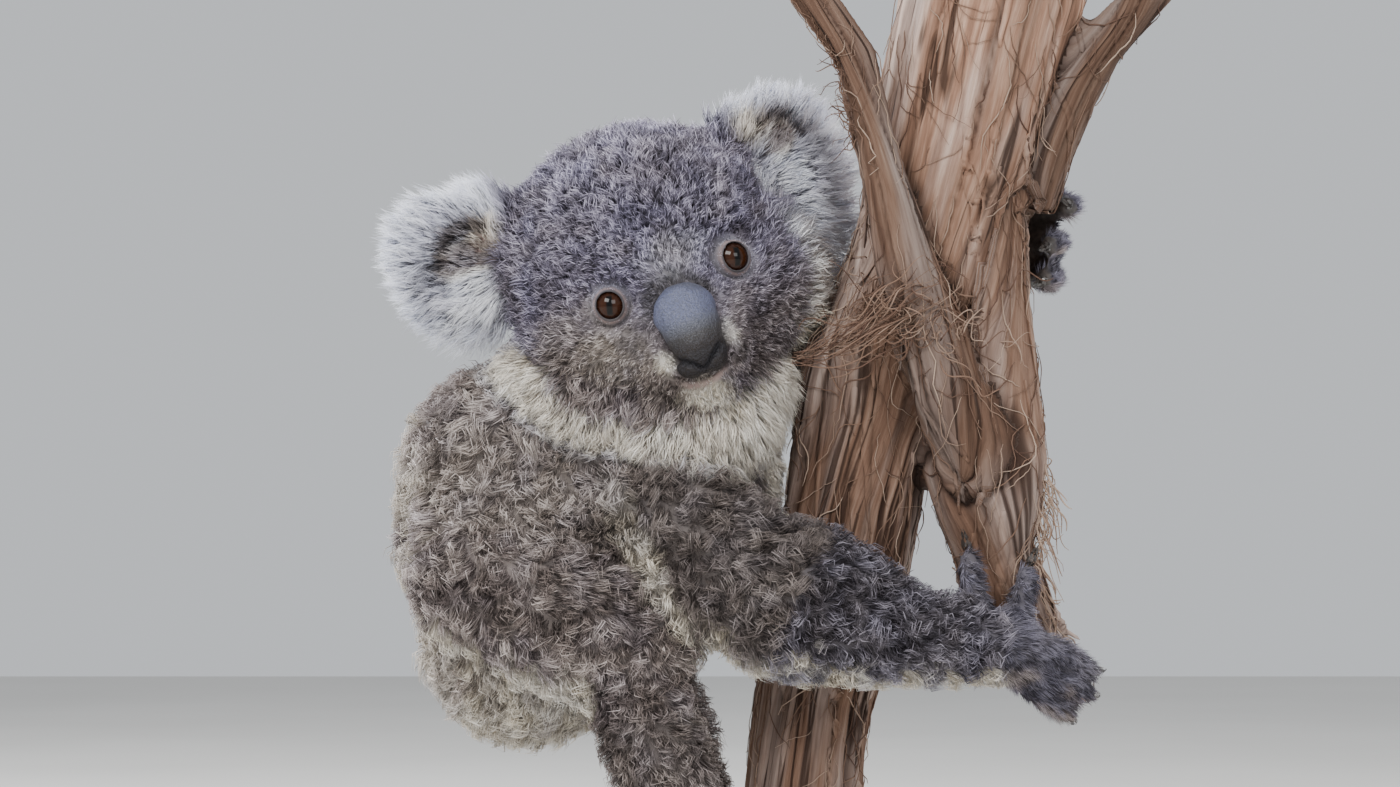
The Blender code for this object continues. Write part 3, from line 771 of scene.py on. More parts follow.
# ================= markings =================
# Patches on the head: how strong they are, their centre and radii in the head's frame, and how soft the
# edge is.
PALE_PATCHES = (
    (0.95, (-17.0, -51, -29.5), (4.8, 9, 4.6), 0.6),
    (0.88, (12.4, -52, -26), (3.9, 9, 6.4), 0.6),
    (0.17, (-34, -34, -20), (16, 18, 14), 0.5),
    (0.07, (-45, -20, -10), (16, 24, 14), 0.5),
    (0.85, (58, 8, 25), (6, 14, 8), 0.5),
    (0.22, (4, -38, 11), (15, 16, 9), 0.5),
)
CHIN_PATCH = (0.97, (-5, -42, -53.5), (11, 16, 12.5), 0.5)
# The first dark patch, by the corner of the mouth under the cheek, is partly a dark mark and partly painted
# shade.
DARK_AND_SHADE_PATCHES = ((0.85, (-20, -38, -45), (6.5, 12, 10), 0.5), (0.75, (14.5, -48, -38), (4.5, 8, 5), 0.5))
# How dark each part of the limbs is.
DARK_PARTS = {"upper_arm": 0.60, "forearm": 0.65, "hand": 0.62, "thigh": 0.02, "shank": 0.36, "foot": 0.62}


def part_shares(share):
    """Each part's share, both sides together."""
    return {name: sum(share_of(share, node) for node in FLESH if part_of(node) == name) for name in COAT}


def face_oval(head):
    """1 on the edge of the face's oval, less inside it."""
    x = (head[:, 0] - FACE_MIDDLE[0]) / FACE_RADII[0]
    z = (head[:, 2] - FACE_MIDDLE[1]) / FACE_RADII[1]
    return np.hypot(x, z)


def ruff_of(head):
    """The pale ruff round the cheeks and chin, wider under the chin than beside the cheeks."""
    oval = face_oval(head)
    x, y, z = head.T
    inner = 1.03 + 0.05 * ramp(x, 8, 36)
    outer = 1.38 + 0.34 * ramp(x, -34, 16)
    top = 4 + 12 * ramp(x, 22, 46)
    behind = ramp(x, 30, 50)
    ring = ramp(oval, inner, inner + 0.11) * ramp(oval, outer + 0.08, outer - 0.08)
    return ring * ramp(z, top, top - 14) * ramp(y, 26 + 14 * behind, 8 + 18 * behind)


def markings(points, normals, share):
    """(pale, dark, warm) at each point, from 0 to 1: the same rule for the skin and for the coat."""
    head = to_head(points)
    x, y, z = head.T
    wobble = noise(points, 8, 3) - 0.5
    fine = noise(points, 3, 4) - 0.5
    part = part_shares(share)
    on_head, forearm, torso, upper_arm = (part[name] for name in ("head", "forearm", "torso", "upper_arm"))

    def patch(centre, radii, soft=0.5):
        d = np.linalg.norm((head - np.array(centre)) / np.array(radii), axis=1) + 0.35 * fine
        return ramp(d, 1 + soft, 1 - soft)

    def patches(rows):
        return [on_head * much * patch(*where) for much, *where in rows]

    ragged = head + (wobble * 4.0 + fine * 3.0)[:, None]
    ruff = ruff_of(ragged) * np.clip(on_head + part["neck"] + torso + upper_arm, 0, 1)
    throat = part["neck"] * ramp(y, 14, 0) * ramp(face_oval(ragged), 1.04, 1.16)
    chin = patches((CHIN_PATCH,))[0]
    eyes = [np.linalg.norm(points - centre, axis=1) for centre in EYES.values()]
    belly = ramp(normals[:, 0] + 0.5 * wobble, 0.60, 0.95) * (torso + upper_arm * 0.4)
    down = -normals[:, 2] + 0.6 * wobble
    below = ramp(down, 0.45, 0.85) * (1 - forearm) + ramp(down, 0.66, 0.96) * forearm
    limbs = torso + part["thigh"] + forearm + upper_arm + part["shank"] * 0.6
    rump_at = middle("torso") + np.array([-36, 0, -52.0])
    from_rump = np.linalg.norm((points - rump_at) / np.array([34, 60, 26]), axis=1) + 1.0 * wobble
    pale = np.max([
        ruff, throat * 0.90 * ramp(x, -40, -10), chin, *patches(PALE_PATCHES),
        *(on_head * 0.24 * ramp(away, 12.0, 7.5) for away in eyes),
        on_head * 0.02 * ramp(z, 10, 24) * ramp(y, 4, -12),
        0.85 * belly, 0.85 * below * limbs, 0.50 * ramp(from_rump, 1.1, 0.7) * torso,
        # Paler on the side facing -x: partly white fur, partly painted rim light.
        0.50 * (ramp(-normals[:, 0] + 0.6 * wobble, 0.75, 1.05) * torso),
        0.10 * torso * ramp(normals[:, 1], -0.2, -0.8) * ramp(points[:, 2], 230, 265),
        0.95 * armpit_streak(points) * (torso + upper_arm),
    ], axis=0)

    over_nose = np.hypot((x + 2) / 13.5, (z + 13) / 14.5) + 0.25 * fine
    above_nose = ramp(over_nose, 1.42, 1.12) * ramp(z, -16, -6) * ramp(y, -20, -30)
    limbs_dark = sum(part[name] * much for name, much in DARK_PARTS.items())
    dark = np.max([limbs_dark, *patches(DARK_AND_SHADE_PATCHES), on_head * 0.90 * above_nose], axis=0)
    dark = dark * (1 - 0.8 * np.clip(below * 1.2, 0, 1)) * (1 - ruff) * (1 - chin)

    warm = 0.08 + 0.10 * on_head + 0.85 * (torso + part["thigh"] + upper_arm + part["shank"]) + 0.4 * wobble
    warm = warm + 0.22 * forearm + 0.8 * on_head * patch((-20, -38, -45), (14, 14, 16))
    warm = warm + 0.75 * part["neck"] + 0.7 * (forearm + part["hand"]) * below + 0.8 * chin
    cool_side = ramp(x, 18, 32) * ramp(z, -44, -26)
    warm = np.maximum(warm * (1 - ruff), 0.85 * np.clip(ruff + throat, 0, 1) * (1 - 0.8 * cool_side))
    warm = warm + on_head * (0.45 * ramp(z, 4, -26) + 0.5 * patch((-43, -22, -12), (20, 26, 18)))
    on_ear = part["ear"]
    both = zip((pale, dark, warm), ear_markings(head, share))
    return tuple(np.clip(body * (1 - on_ear) + ear * on_ear, 0, 1) for body, ear in both)


def armpit_streak(points):
    """The cream streak that runs down behind the right upper arm."""
    start, end = (middle("upper_arm_right") + np.array(off) for off in ((-42, 0, 28.0), (-14, -4, -40.0)))
    way = end - start
    t = np.clip((points - start) @ way / (way @ way), 0, 1)
    gap = points - (start + t[:, None] * way)
    near = ramp(np.hypot(gap[:, 0], gap[:, 2]) + 4 * (noise(points, 5, 8) - 0.5), 9.5, 4)
    return near * ramp(points[:, 1], -8, -24) * (0.25 + 0.75 * ramp(t, 0.15, 0.6))


def ear_place(head, node):
    """(outward, up, forward) of each point from the ear's centre, in millimetres."""
    ear = EARS[node]
    at = head - np.array(ear["centre"])
    return ear["side"] * at[:, 0], at[:, 2], -at[:, 1]


def ear_spot(head, node, key):
    """How far each point is from one of the ear's spots, in shares of its radii."""
    out, up, _ = ear_place(head, node)
    spot = EARS[node][key]
    return np.hypot((out - spot[0]) / spot[2], (up - spot[1]) / spot[-1])


def ear_arc(head, node):
    """The dark arc over the hollow."""
    out, up, _ = ear_place(head, node)
    aside, above = out - EARS[node]["hollow"][0], up - EARS[node]["hollow"][1]
    size, thick = EARS[node]["arc"]
    return bell((np.hypot(aside, above) - size) / thick) * ramp(aside * 0.6 + above, 0.1 * size, 0.6 * size)


def ear_markings(head, share):
    """White, with a dark arc over a pinkish hollow, a white tuft under it and dark streaks beyond it."""
    total = np.zeros((3, len(head)))
    both = sum(share_of(share, node) for node in EARS)
    for node, ear in EARS.items():
        own = share_of(share, node) / np.maximum(both, 1e-6)
        out, up, front = ear_place(head, node)
        facing = ramp(front, -3, 2)
        rim = np.hypot(out / ear["radii"][0], up / ear["radii"][1])
        spots = ("hollow", "tuft", "streaks", "cream")
        hollow, tuft, zone, cream = (ear_spot(head, node, key) for key in spots)
        arc = ear_arc(head, node)
        angle = np.arctan2(up + 6, out + 30)
        lines = np.stack([angle * 40, rim * 4, np.full(len(out), ear["side"] * 9.0)], 1)
        streak = noise(lines, 1.0, 6)
        join = ramp(out, ear["join"] + 5, ear["join"] - 4)
        bright = ramp(tuft, 1.25, 0.85)
        lined = ramp(zone, 1.55, 0.6) * (0.28 + 0.62 * ramp(streak, 0.62, 0.40)) * ramp(rim, 1.10, 0.85)
        dark = np.maximum(np.maximum(arc, lined), 0.45 * join)
        pale = 0.66 + 0.34 * ramp(rim, 0.66, 0.95) + 0.30 * (streak - 0.5) * ramp(rim, 1.0, 0.7)
        pale = np.maximum(pale, 0.95 * ramp(up + 0.3 * out, -4, -14)) * (1 - 0.95 * arc)
        pale = pale * (1 - 0.75 * ramp(hollow, 1.3, 0.8)) * (1 - 0.85 * join) * (1 - 0.80 * dark)
        behind = 0.35 + 0.55 * ramp(rim, 0.55, 0.9)
        pale = np.maximum(pale, bright) * facing + behind * (1 - facing)
        inner = ramp(hollow, 1.6, 0.9) * ramp(tuft, 0.5, 1.0)
        warm = 0.05 + 0.60 * inner + 0.55 * arc + 0.8 * ramp(cream, 1.3, 0.6)
        total += own * np.stack([pale, dark * (1 - bright) * facing, warm * facing])
    return total


# ================= tufts =================
class Roots:
    """Where tufts stand: points on the skin with all that is known there."""

    def __init__(self, values):
        vars(self).update(values)

    def where(self, mask):
        return Roots({name: value[mask] for name, value in vars(self).items()})


def scatter(skin):
    """Roots all over the skin, as dense as the coat table says, and a little denser on the front."""
    a, b, c = (skin.points[skin.triangles[:, i]] for i in range(3))
    face = np.cross(b - a, c - a)
    area = np.linalg.norm(face, axis=1) / 2
    dense = coat_values(skin.share, "dense")[skin.triangles].mean(1)
    dense = dense * (0.82 + 0.28 * ramp(-unit(face)[:, 1], -0.4, 0.6))
    want = area * dense * TUFT_SHARE
    chosen = np.repeat(np.arange(len(want)), rng.poisson(want))
    r1, r2 = rng.random((2, len(chosen)))
    root = np.sqrt(r1)
    spots = np.stack([1 - root, root * (1 - r2), root * r2], axis=1)
    corners = skin.triangles[chosen]
    values = {}
    for name in ("points", "normals", "flow", "share"):
        values[name] = np.einsum("ij,ijk->ik", spots, getattr(skin, name)[corners])
    for name in ("eye_near", "mouth", "lip", "pad"):
        values[name] = np.einsum("ij,ij->i", spots, getattr(skin, name)[corners])
    for name in ("normals", "flow"):
        values[name] = unit(values[name])
    return Roots(values)


def covered(points, normals):
    """Roots pressed so close against the tree that no tuft could stand."""
    tree, _ = tree_of(*PERCH)
    hits = [tree.ray_cast(Vector(p + n * 0.2), Vector(n), 2.5)[0] for p, n in zip(points, normals)]
    return np.array([hit is not None for hit in hits])


def locks_of(roots, dense, size):
    """For each root, the root that leads its lock."""
    count = len(roots.points)
    chance = 1.0 / (dense * TUFT_SHARE * 0.8 * size**2)
    heads = np.nonzero(rng.random(count) < np.clip(chance, 0, 1))[0]
    if len(heads) < 4:
        return np.arange(count)
    tree = KDTree(len(heads))
    for row, i in enumerate(heads):
        tree.insert(roots.points[i], row)
    tree.balance()
    return heads[[tree.find(p)[1] for p in roots.points]]


def ring_of(centre, heading, normals, size):
    """The three corners of a tuft's section."""
    flat = unit(np.cross(heading, normals + 1e-3))
    top = unit(np.cross(flat, heading))
    corners = []
    for angle in np.radians((-30, 210, 90)):
        offset = flat * (math.cos(angle) * size)[:, None] + top * (math.sin(angle) * size * 0.6)[:, None]
        corners.append(centre + offset)
    return np.stack(corners, axis=1)


def tuft_shapes(roots, tufts, lead):
    """How far each tuft reaches from its root, and its corners as a hooked spindle and as a plain cone."""
    at, up, count = roots.points, roots.normals, len(roots.points)
    length, width, curl = tufts["length"], tufts["width"], tufts["curl"]
    side = unit(np.cross(roots.flow, up))
    drift = (noise(at, 15, 41) - 0.5) * 110 * curl
    astray = np.radians((rng.normal(size=count) * tufts["stray"])[lead] + drift)[:, None]
    turned = roots.flow * np.cos(astray) + side * np.sin(astray)
    rise = np.radians(tufts["lift"] + rng.normal(size=count) * 7)[:, None]
    own_way = rng.normal(size=(count, 3)) * tufts["loose"][:, None]
    way = unit(turned * np.cos(rise) + up * np.sin(rise) + own_way)
    own_tip = at + way * length[:, None]
    pull = tufts["pull"] * rng.uniform(0.4, 1.4, count)
    along = own_tip + (own_tip[lead] - own_tip) * pull[:, None] - at
    reach = np.linalg.norm(along, axis=1, keepdims=True)
    along = along / np.maximum(reach, 1e-6) * np.minimum(reach, length[:, None] * 1.1)
    turn = np.where(rng.random(count) < 0.5, -1.0, 1.0)
    own_turn = np.where(rng.random(count) < 0.3, turn, turn[lead])
    hook = (own_turn * rng.uniform(0.5, 1.3, count) * curl * length)[:, None]
    sideways = unit(np.cross(turned, up))
    tip = at + along + sideways * hook * 0.34 - up * (curl * length * 0.16)[:, None]
    bow = up * ((0.06 + 0.18 * curl) * length)[:, None]
    middles = at + along * 0.50 + bow - sideways * hook * 0.18
    base = at - up * 0.5
    waist = ring_of(middles, tip - base, up, width / 2)
    spindle = np.concatenate([base[:, None, :], waist, tip[:, None, :]], axis=1)
    cone = np.concatenate([ring_of(base, way, up, width / 2), tip[:, None, :]], axis=1)
    return along, spindle, cone


def grow(name, roots, tufts, bends, material):
    """One coat piece: a tuft at each root. The share that bends are hooked spindles, closed to a point at
    both ends; the others are plain cones. Their lower ends are sunk in the skin."""
    count = len(roots.points)
    bent = rng.random(count) < bends
    tufts["length"] = tufts["length"] * np.where(bent & (bends < 1), 1.22, 1.0)
    lead = locks_of(roots, tufts["dense"], tufts["lock"])
    along, spindle, cone = tuft_shapes(roots, tufts, lead)
    folded = []
    for i in range(3):
        j = (i + 1) % 3
        folded += [(1 + j, 1 + i, 0), (1 + i, 1 + j, 4)]
    plain = [(i, (i + 1) % 3, 3) for i in range(3)]
    shapes = (
        (bent, spindle, folded, (0, 0.5, 0.5, 0.5, 1.0), (0.5, 0, 1, 0.5, 0.5)),
        (~bent, cone, plain, (0, 0, 0, 1.0), (0, 1, 0.5, 0.5)),
    )
    speckle = tufts["speckle"]
    shade = 0.5 + (0.12 + 0.42 * speckle) * (rng.random(count)[lead] - 0.5)
    shade = shade + speckle * 0.8 * (rng.random(count) - 0.5)
    shade = shade + 0.30 * (noise(roots.points, 9, 42) - 0.5) + tufts["relief"]
    shade = np.clip(np.where(rng.random(count) < 0.08, shade + 0.3, shade), 0, 1)
    pattern = np.stack(markings(roots.points + along * 0.6, roots.normals, roots.share), axis=1)
    patch_at = lay_out(roots.points)
    points, triangles, marks, tones, places = [], [], [], [], []
    start = 0
    for chosen, body, faces, height, across in shapes:
        number, each = int(chosen.sum()), body.shape[1]
        corner = start + np.arange(number)[:, None, None] * each + np.array(faces)[None]
        mark = np.empty((number, each, 4))
        mark[:, :, :3] = pattern[chosen][:, None, :]
        mark[:, :, 3] = np.array(height)[None]
        patch = np.stack([np.array(across) - 0.5, np.array(height)], axis=1) * PATCH
        points.append(body[chosen].reshape(-1, 3))
        triangles.append(corner.reshape(-1, 3))
        marks.append(mark.reshape(-1, 4))
        tones.append(np.repeat(shade[chosen], each))
        places.append((patch_at[chosen][:, None, :] + patch[None]).reshape(-1, 2))
        start += number * each
    triangles = np.concatenate(triangles)
    obj = mesh_from(name, np.concatenate(points), triangles)
    add_values(obj.data, "mark", np.concatenate(marks))
    add_values(obj.data, "tone", np.concatenate(tones))
    layer = obj.data.uv_layers.new(name="OFBake")
    layer.data.foreach_set("uv", np.concatenate(places)[triangles.ravel()].astype(np.float32).ravel())
    return dress(obj, material, "fur")


def lay_out(places):
    """Where each tuft's patch goes on the OFBake map: round the piece's own middle and along its length."""
    rel = places - places.mean(0)
    axes = np.linalg.eigh(np.cov(rel.T))[1]
    third, second, main = axes.T
    u = (np.arctan2(rel @ second, rel @ third) / (2 * math.pi) + 0.5) * 0.99 + 0.005
    along = rel @ main
    v = (np.argsort(np.argsort(along)) / max(len(along), 1)) * 0.985 + 0.005
    return np.stack([u, v], axis=1)


def blend(tufts, share, **values):
    """Moves the tufts' measures to those values by that share."""
    for key, value in values.items():
        tufts[key] = tufts[key] * (1 - share) + value * share


def coat_lengths(roots):
    """Length, width, lift and the rest for each root, from the coat table and the place on the body."""
    count = len(roots.points)
    tufts = {key: coat_values(roots.share, key) for key in COAT_KEYS[1:]}
    place = to_head(roots.points)
    x, y, z = place.T
    short = face_shortness(roots.points)
    head = share_of(roots.share, "head")
    tufts["length"] = tufts["length"] * (1 - head + head * short * 1.25)
    clear = np.where(head > 0.3, ramp(roots.eye_near, 1.2, 2.7), 1.0)
    tufts["length"] *= (0.24 + 0.76 * clear) * (1 - 0.6 * np.clip(roots.lip, 0, 1))
    tufts["loose"] *= 0.25 + 0.75 * clear
    tufts["lift"] *= 0.50 + 0.50 * clear
    tufts["curl"] *= clear
    ruff = ruff_of(place) * np.clip(head + share_of(roots.share, "neck"), 0, 1)
    blend(tufts, ruff, length=13.0, width=0.46, lock=4.5)
    beside = head * ramp(x, 34, 46) * ramp(z, 18, 6) * ramp(z, -52, -40) * ramp(y, -22, -10)
    blend(tufts, beside, length=19.0, width=0.42, lift=38.0)
    tufts["curl"] = tufts["curl"] * (1 - 0.5 * ruff) * (1 - 0.7 * beside)
    tufts["loose"] = tufts["loose"] * (1 - 0.7 * beside)
    body = 1 - np.clip(head + sum(share_of(roots.share, node) for node in (*EARS, "neck")), 0, 1)
    relief = noise(roots.points, 7, 44) - 0.5
    broad_relief = noise(roots.points, 19, 45) - 0.5
    # Longer clumps are painted lighter and shorter ones darker: painted light and shade that follow the
    # coat's relief. The broad relief changes the tone slowly, at random.
    tufts["relief"] = (0.62 * body + 0.30 * head) * relief + 0.3 * body * broad_relief
    chin = head * ramp(np.hypot((x + 5) / 11, (z + 53) / 10), 1.2, 0.7) * ramp(y, -20, -28)
    # The long hair beside the cheek is painted lighter, painted light on hair that lies in shade; the chin a
    # little lighter; the ruff's clumps painted lighter and darker with the relief.
    tufts["relief"] += 0.30 * beside + 0.22 * chin + 0.40 * ruff * relief
    for node in EARS:
        shape_ear_tufts(tufts, place, share_of(roots.share, node), node)
    tufts["length"] *= 1 + (0.70 * body + 0.16 * head) * relief
    tufts["length"] *= rng.uniform(0.72, 1.22, count)
    tufts["width"] *= rng.uniform(0.7, 1.25, count) * (1 - 0.15 * head * (1 - short))
    tufts["lift"] = np.clip(tufts["lift"] - 8 * head * (1 - short), 6, 65)
    return tufts


def shape_ear_tufts(tufts, place, own, node):
    """Longer tufts on an ear's rim, short ones in its hollow and a tuft that stands up under it."""
    ear = EARS[node]
    out, up, front = ear_place(place, node)
    wide, tall = ear["radii"]
    rim = np.hypot(out / wide, up / tall)
    hollow, tuft = (ear_spot(place, node, key) for key in ("hollow", "tuft"))
    inner = ramp(hollow, 1.3, 0.8) * ramp(tuft, 0.6, 1.1) * ramp(front, -3, 2)
    bright = ramp(tuft, 1.25, 0.85) * ramp(front, -3, 2)
    lee = ramp(hollow, 2.2, 1.2) * ramp(out, ear["hollow"][0], ear["hollow"][0] - 6)
    crest = 0.4 * ramp(up, 22, 34) if ear["side"] > 0 else 0.0
    longer = 0.32 * ramp(rim, 0.6, 0.9) + 0.35 * bright
    tufts["length"] *= 1 + own * (longer - 0.62 * np.maximum(inner, 0.7 * lee) - crest)
    tufts["length"] *= 1 + own * ear["fringe"] * ramp(up, -0.45 * tall, -0.75 * tall)
    tufts["lift"] += own * (26 * bright - 6 * inner)
    # The white tuft is painted lighter, painted light on hair that lies in the ear's shade; the hollow and
    # the dark arc are darker.
    tufts["relief"] += own * (0.45 * bright + 0.10 - 0.20 * inner - 0.22 * ear_arc(place, node))


def build_coat(skin, material):
    """The tufts, in pieces: head, ears, neck, body and each side's limbs."""
    roots = scatter(skin)
    thinned = roots.lip < rng.uniform(0.3, 1.1, len(roots.lip))
    roots = roots.where((roots.eye_near > 1.20) & (roots.mouth < 0.45) & thinned)
    for centre in EYES.values():
        roots = roots.where(np.linalg.norm(roots.points - centre, axis=1) > EYE_RADIUS + 0.5)
    roots = roots.where(rng.random(len(roots.pad)) > roots.pad * 1.4)
    roots = roots.where(~inside_nose(roots.points))
    roots = roots.where(~covered(roots.points, roots.normals))
    tufts = coat_lengths(roots)
    owner = roots.share.argmax(1)

    def owned(*nodes):
        return np.isin(owner, [FLESH.index(node) for node in nodes])

    ragged = 16 * (noise(roots.points, 8, 46) - 0.5)
    place = to_head(roots.points) + ragged[:, None]
    head, torso = owned("head"), owned("torso")
    front, upper = place[:, 1] < -8, place[:, 2] > 8
    high = roots.points[:, 2] + ragged > middle("torso")[2] + 10
    pieces = {
        "brow": (head & front & upper, 1.0),
        "face": (head & front & ~upper, 0.3),
        "crown": (head & ~front & upper, 0.6),
        "nape": (head & ~front & ~upper, 0.4),
        "ear_left": (owned("ear_left"), 0.8),
        "ear_right": (owned("ear_right"), 0.8),
        "neck": (owned("neck"), 0.5),
        "back": (torso & high, BODY_BENDS),
        "rump": (torso & ~high, BODY_BENDS),
    }
    for side in SIDES:
        for part in ("upper_arm", "forearm", "thigh", "shank"):
            pieces[f"{part}_{side}"] = (owned(f"{part}_{side}"), BODY_BENDS)
        pieces[f"paws_{side}"] = (owned(f"hand_{side}", f"foot_{side}"), 0.0)
    for name, (mask, bends) in pieces.items():
        chosen = {key: value[mask] for key, value in tufts.items()}
        grow(f"fur_{name}", roots.where(mask), chosen, bends, material)


def inside_nose(points):
    """Roots under the bare nose."""
    tree, _ = tree_of("nose")
    out = np.zeros(len(points), bool)
    for i in close_to_nose(points):
        spot, normal, _, _ = tree.find_nearest(Vector(points[i]))
        out[i] = (Vector(points[i]) - spot).dot(normal) < 0.4
    return out


# ================= eyes, nose and claws =================
def build_eye(side, material):
    """A wet ball with a slightly raised clear front. The last two points are its poles."""
    rings, sides = 40, 56
    across, up, gaze = eye_axes(side)
    theta = np.linspace(0, math.pi, rings + 1)[1:-1]
    phi = np.arange(sides) * 2 * math.pi / sides
    polar, turn = np.meshgrid(theta, phi, indexing="ij")
    local = np.stack([np.sin(polar) * np.cos(turn), np.sin(polar) * np.sin(turn), np.cos(polar)], axis=-1)
    local = np.concatenate([local.reshape(-1, 3), [[0, 0, 1.0]], [[0, 0, -1.0]]])
    x, y, z = local.T
    flat = np.linalg.norm(local[:, :2], axis=1)
    bulge = 1 + 0.045 * bell(flat / 0.5) * (z > 0)
    body = local * (EYE_RADIUS * bulge)[:, None]
    points = EYES[side] + body[:, :1] * across + body[:, 1:2] * up + body[:, 2:] * gaze
    grid = np.arange((rings - 1) * sides).reshape(rings - 1, sides)
    turned = np.roll(grid, -1, 1)
    a, b, c, d = grid[:-1].ravel(), turned[:-1].ravel(), turned[1:].ravel(), grid[1:].ravel()
    front, rear = (np.full(sides, len(local) - back) for back in (2, 1))
    triangles = np.concatenate([
        np.stack(corners, 1)
        for corners in ((a, d, c), (a, c, b), (front, grid[0], turned[0]), (rear, turned[-1], grid[-1]))
    ])
    obj = mesh_from(f"eyeball_{side}", points, triangles)
    tilt = math.radians(-HEAD_ROLL * PUPIL_UPRIGHT)
    aside = x * math.cos(tilt) - y * math.sin(tilt)
    upright = x * math.sin(tilt) + y * math.cos(tilt)
    slit = ramp(np.abs(aside), *PUPIL[0]) * ramp(np.abs(upright), *PUPIL[1]) * (z > 0)
    angle = np.arctan2(y, x)
    rays = 0.5 + 0.5 * np.sin(angle * 34 + 3 * np.sin(angle * 5)) * ramp(flat, 0.1, 0.3)
    add_values(obj.data, "mark", np.stack([np.where(z > 0, flat, 1.0), slit, rays, np.ones(len(x))], 1))
    dress(obj, material, "eye", f"eye_{side}")


def build_nose(material):
    """The bare nose: a broad leathery pad with a comma of a nostril on each side, low on its front."""
    obj = fused_nodes("nose_pad", ["nose"], grow=0.5, voxel=0.55, rounds=60)
    triangles = triangles_of(obj.data)
    edges = edges_of(triangles)
    head = to_head(points_of(obj.data))
    head[:, 2] += NOSE_RISE
    narrow = np.interp(head[:, 2], *NOSE_TAPER)
    head[:, 0] = NOSE_AT[0] + (head[:, 0] - NOSE_AT[0]) * narrow - ramp(head[:, 2], -26, -34)
    head = spread(head, edges, 6)
    points = from_head(head)
    normals = normals_of(points, triangles)
    x, y, z = head[:, 0] - NOSTRIL_AXIS, head[:, 1], head[:, 2]
    front = ramp(y, -44, -50)
    wide = 0.60 + 0.65 * ramp(z, -36, -31)
    sink, wing = np.zeros(len(points)), np.zeros(len(points))
    for sign in (-1, 1):
        for (x0, z0), (x1, z1) in zip(NOSTRIL, NOSTRIL[1:]):
            a, way = np.array([sign * x0, z0]), np.array([sign * (x1 - x0), z1 - z0])
            t = np.clip(((x - a[0]) * way[0] + (z - a[1]) * way[1]) / (way @ way), 0, 1)
            d = np.hypot(x - a[0] - t * way[0], z - a[1] - t * way[1])
            sink = np.maximum(sink, NOSTRIL_DEPTH * bell(d / wide))
        lobe = np.hypot((x - sign * WING[0]) / WING[2], (z - WING[1]) / WING[3])
        wing = np.maximum(wing, ramp(lobe, 1.4, 0.2))
    points += normals * (front * (WING_HEIGHT * wing - sink))[:, None]
    move_points(obj.data, spread(points, edges, 1, 0.3))
    # The up value: dark at the bottom to a pale blue top, the blue a painted reflection of the sky; painted
    # shade in the nostrils; the wings a little lighter, and less blue where the leather faces up.
    shade = (0.10 + 0.90 * ramp(z, -33, -11) + 0.16 * wing) * (1 - np.clip(sink / 1.4, 0, 1) * front)
    add_values(obj.data, "up", shade - 0.16 * ramp(normals[:, 2], 0.6, 0.95))
    dress(obj, material, "nose_leather", "nose")


def dress_claws(material):
    """The claws keep their solids, rounded by a subdivision."""
    for name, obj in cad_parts.items():
        if name.startswith("claw_"):
            wear(obj, material)
            smooth = obj.modifiers.new("round", "SUBSURF")
            smooth.levels = smooth.render_levels = 2
            obj.data.shade_smooth()


# ================= the perch =================
def along_grain(points):
    """The points moved to a straight round rod about each log's own line, so that a pattern stretched in z
    follows the log; each point's distance from that line; the painted light on the bark there; and how near
    it is to the crease where two logs meet."""
    moved, scores, rings = [], [], []
    z = points[:, 2]
    for index, node in enumerate(PERCH):
        own = points_of(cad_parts[node].data)
        heights = np.linspace(own[:, 2].min(), own[:, 2].max(), 12)
        near = bell((own[None, :, 2] - heights[:, None]) / 20) + 1e-9
        near /= near.sum(1, keepdims=True)
        line = near @ own[:, :2]
        girth = (near * np.linalg.norm(own[None, :, :2] - line[:, None], axis=2)).sum(1)
        off = np.stack([points[:, axis] - np.interp(z, heights, line[:, axis]) for axis in range(2)], 1)
        rings.append(np.linalg.norm(off, axis=1))
        beyond = np.maximum(heights[0] - z, z - heights[-1])
        scores.append(rings[-1] - np.interp(z, heights, girth) + np.maximum(beyond, 0))
        moved.append(np.column_stack([unit(off) * girth.mean() + 120.0 * index, z]))
    found = np.argmin(scores, axis=0)
    ordered = np.sort(scores, axis=0)
    crease = bell((ordered[1] - ordered[0]) / 3.0)
    row = np.arange(len(points))
    lit = np.where(found == 0, np.interp(z, *TRUNK_LIT), np.array([1.0, *OTHERS_LIT])[found])
    return np.stack(moved)[found, row], np.stack(rings)[found, row], lit, crease


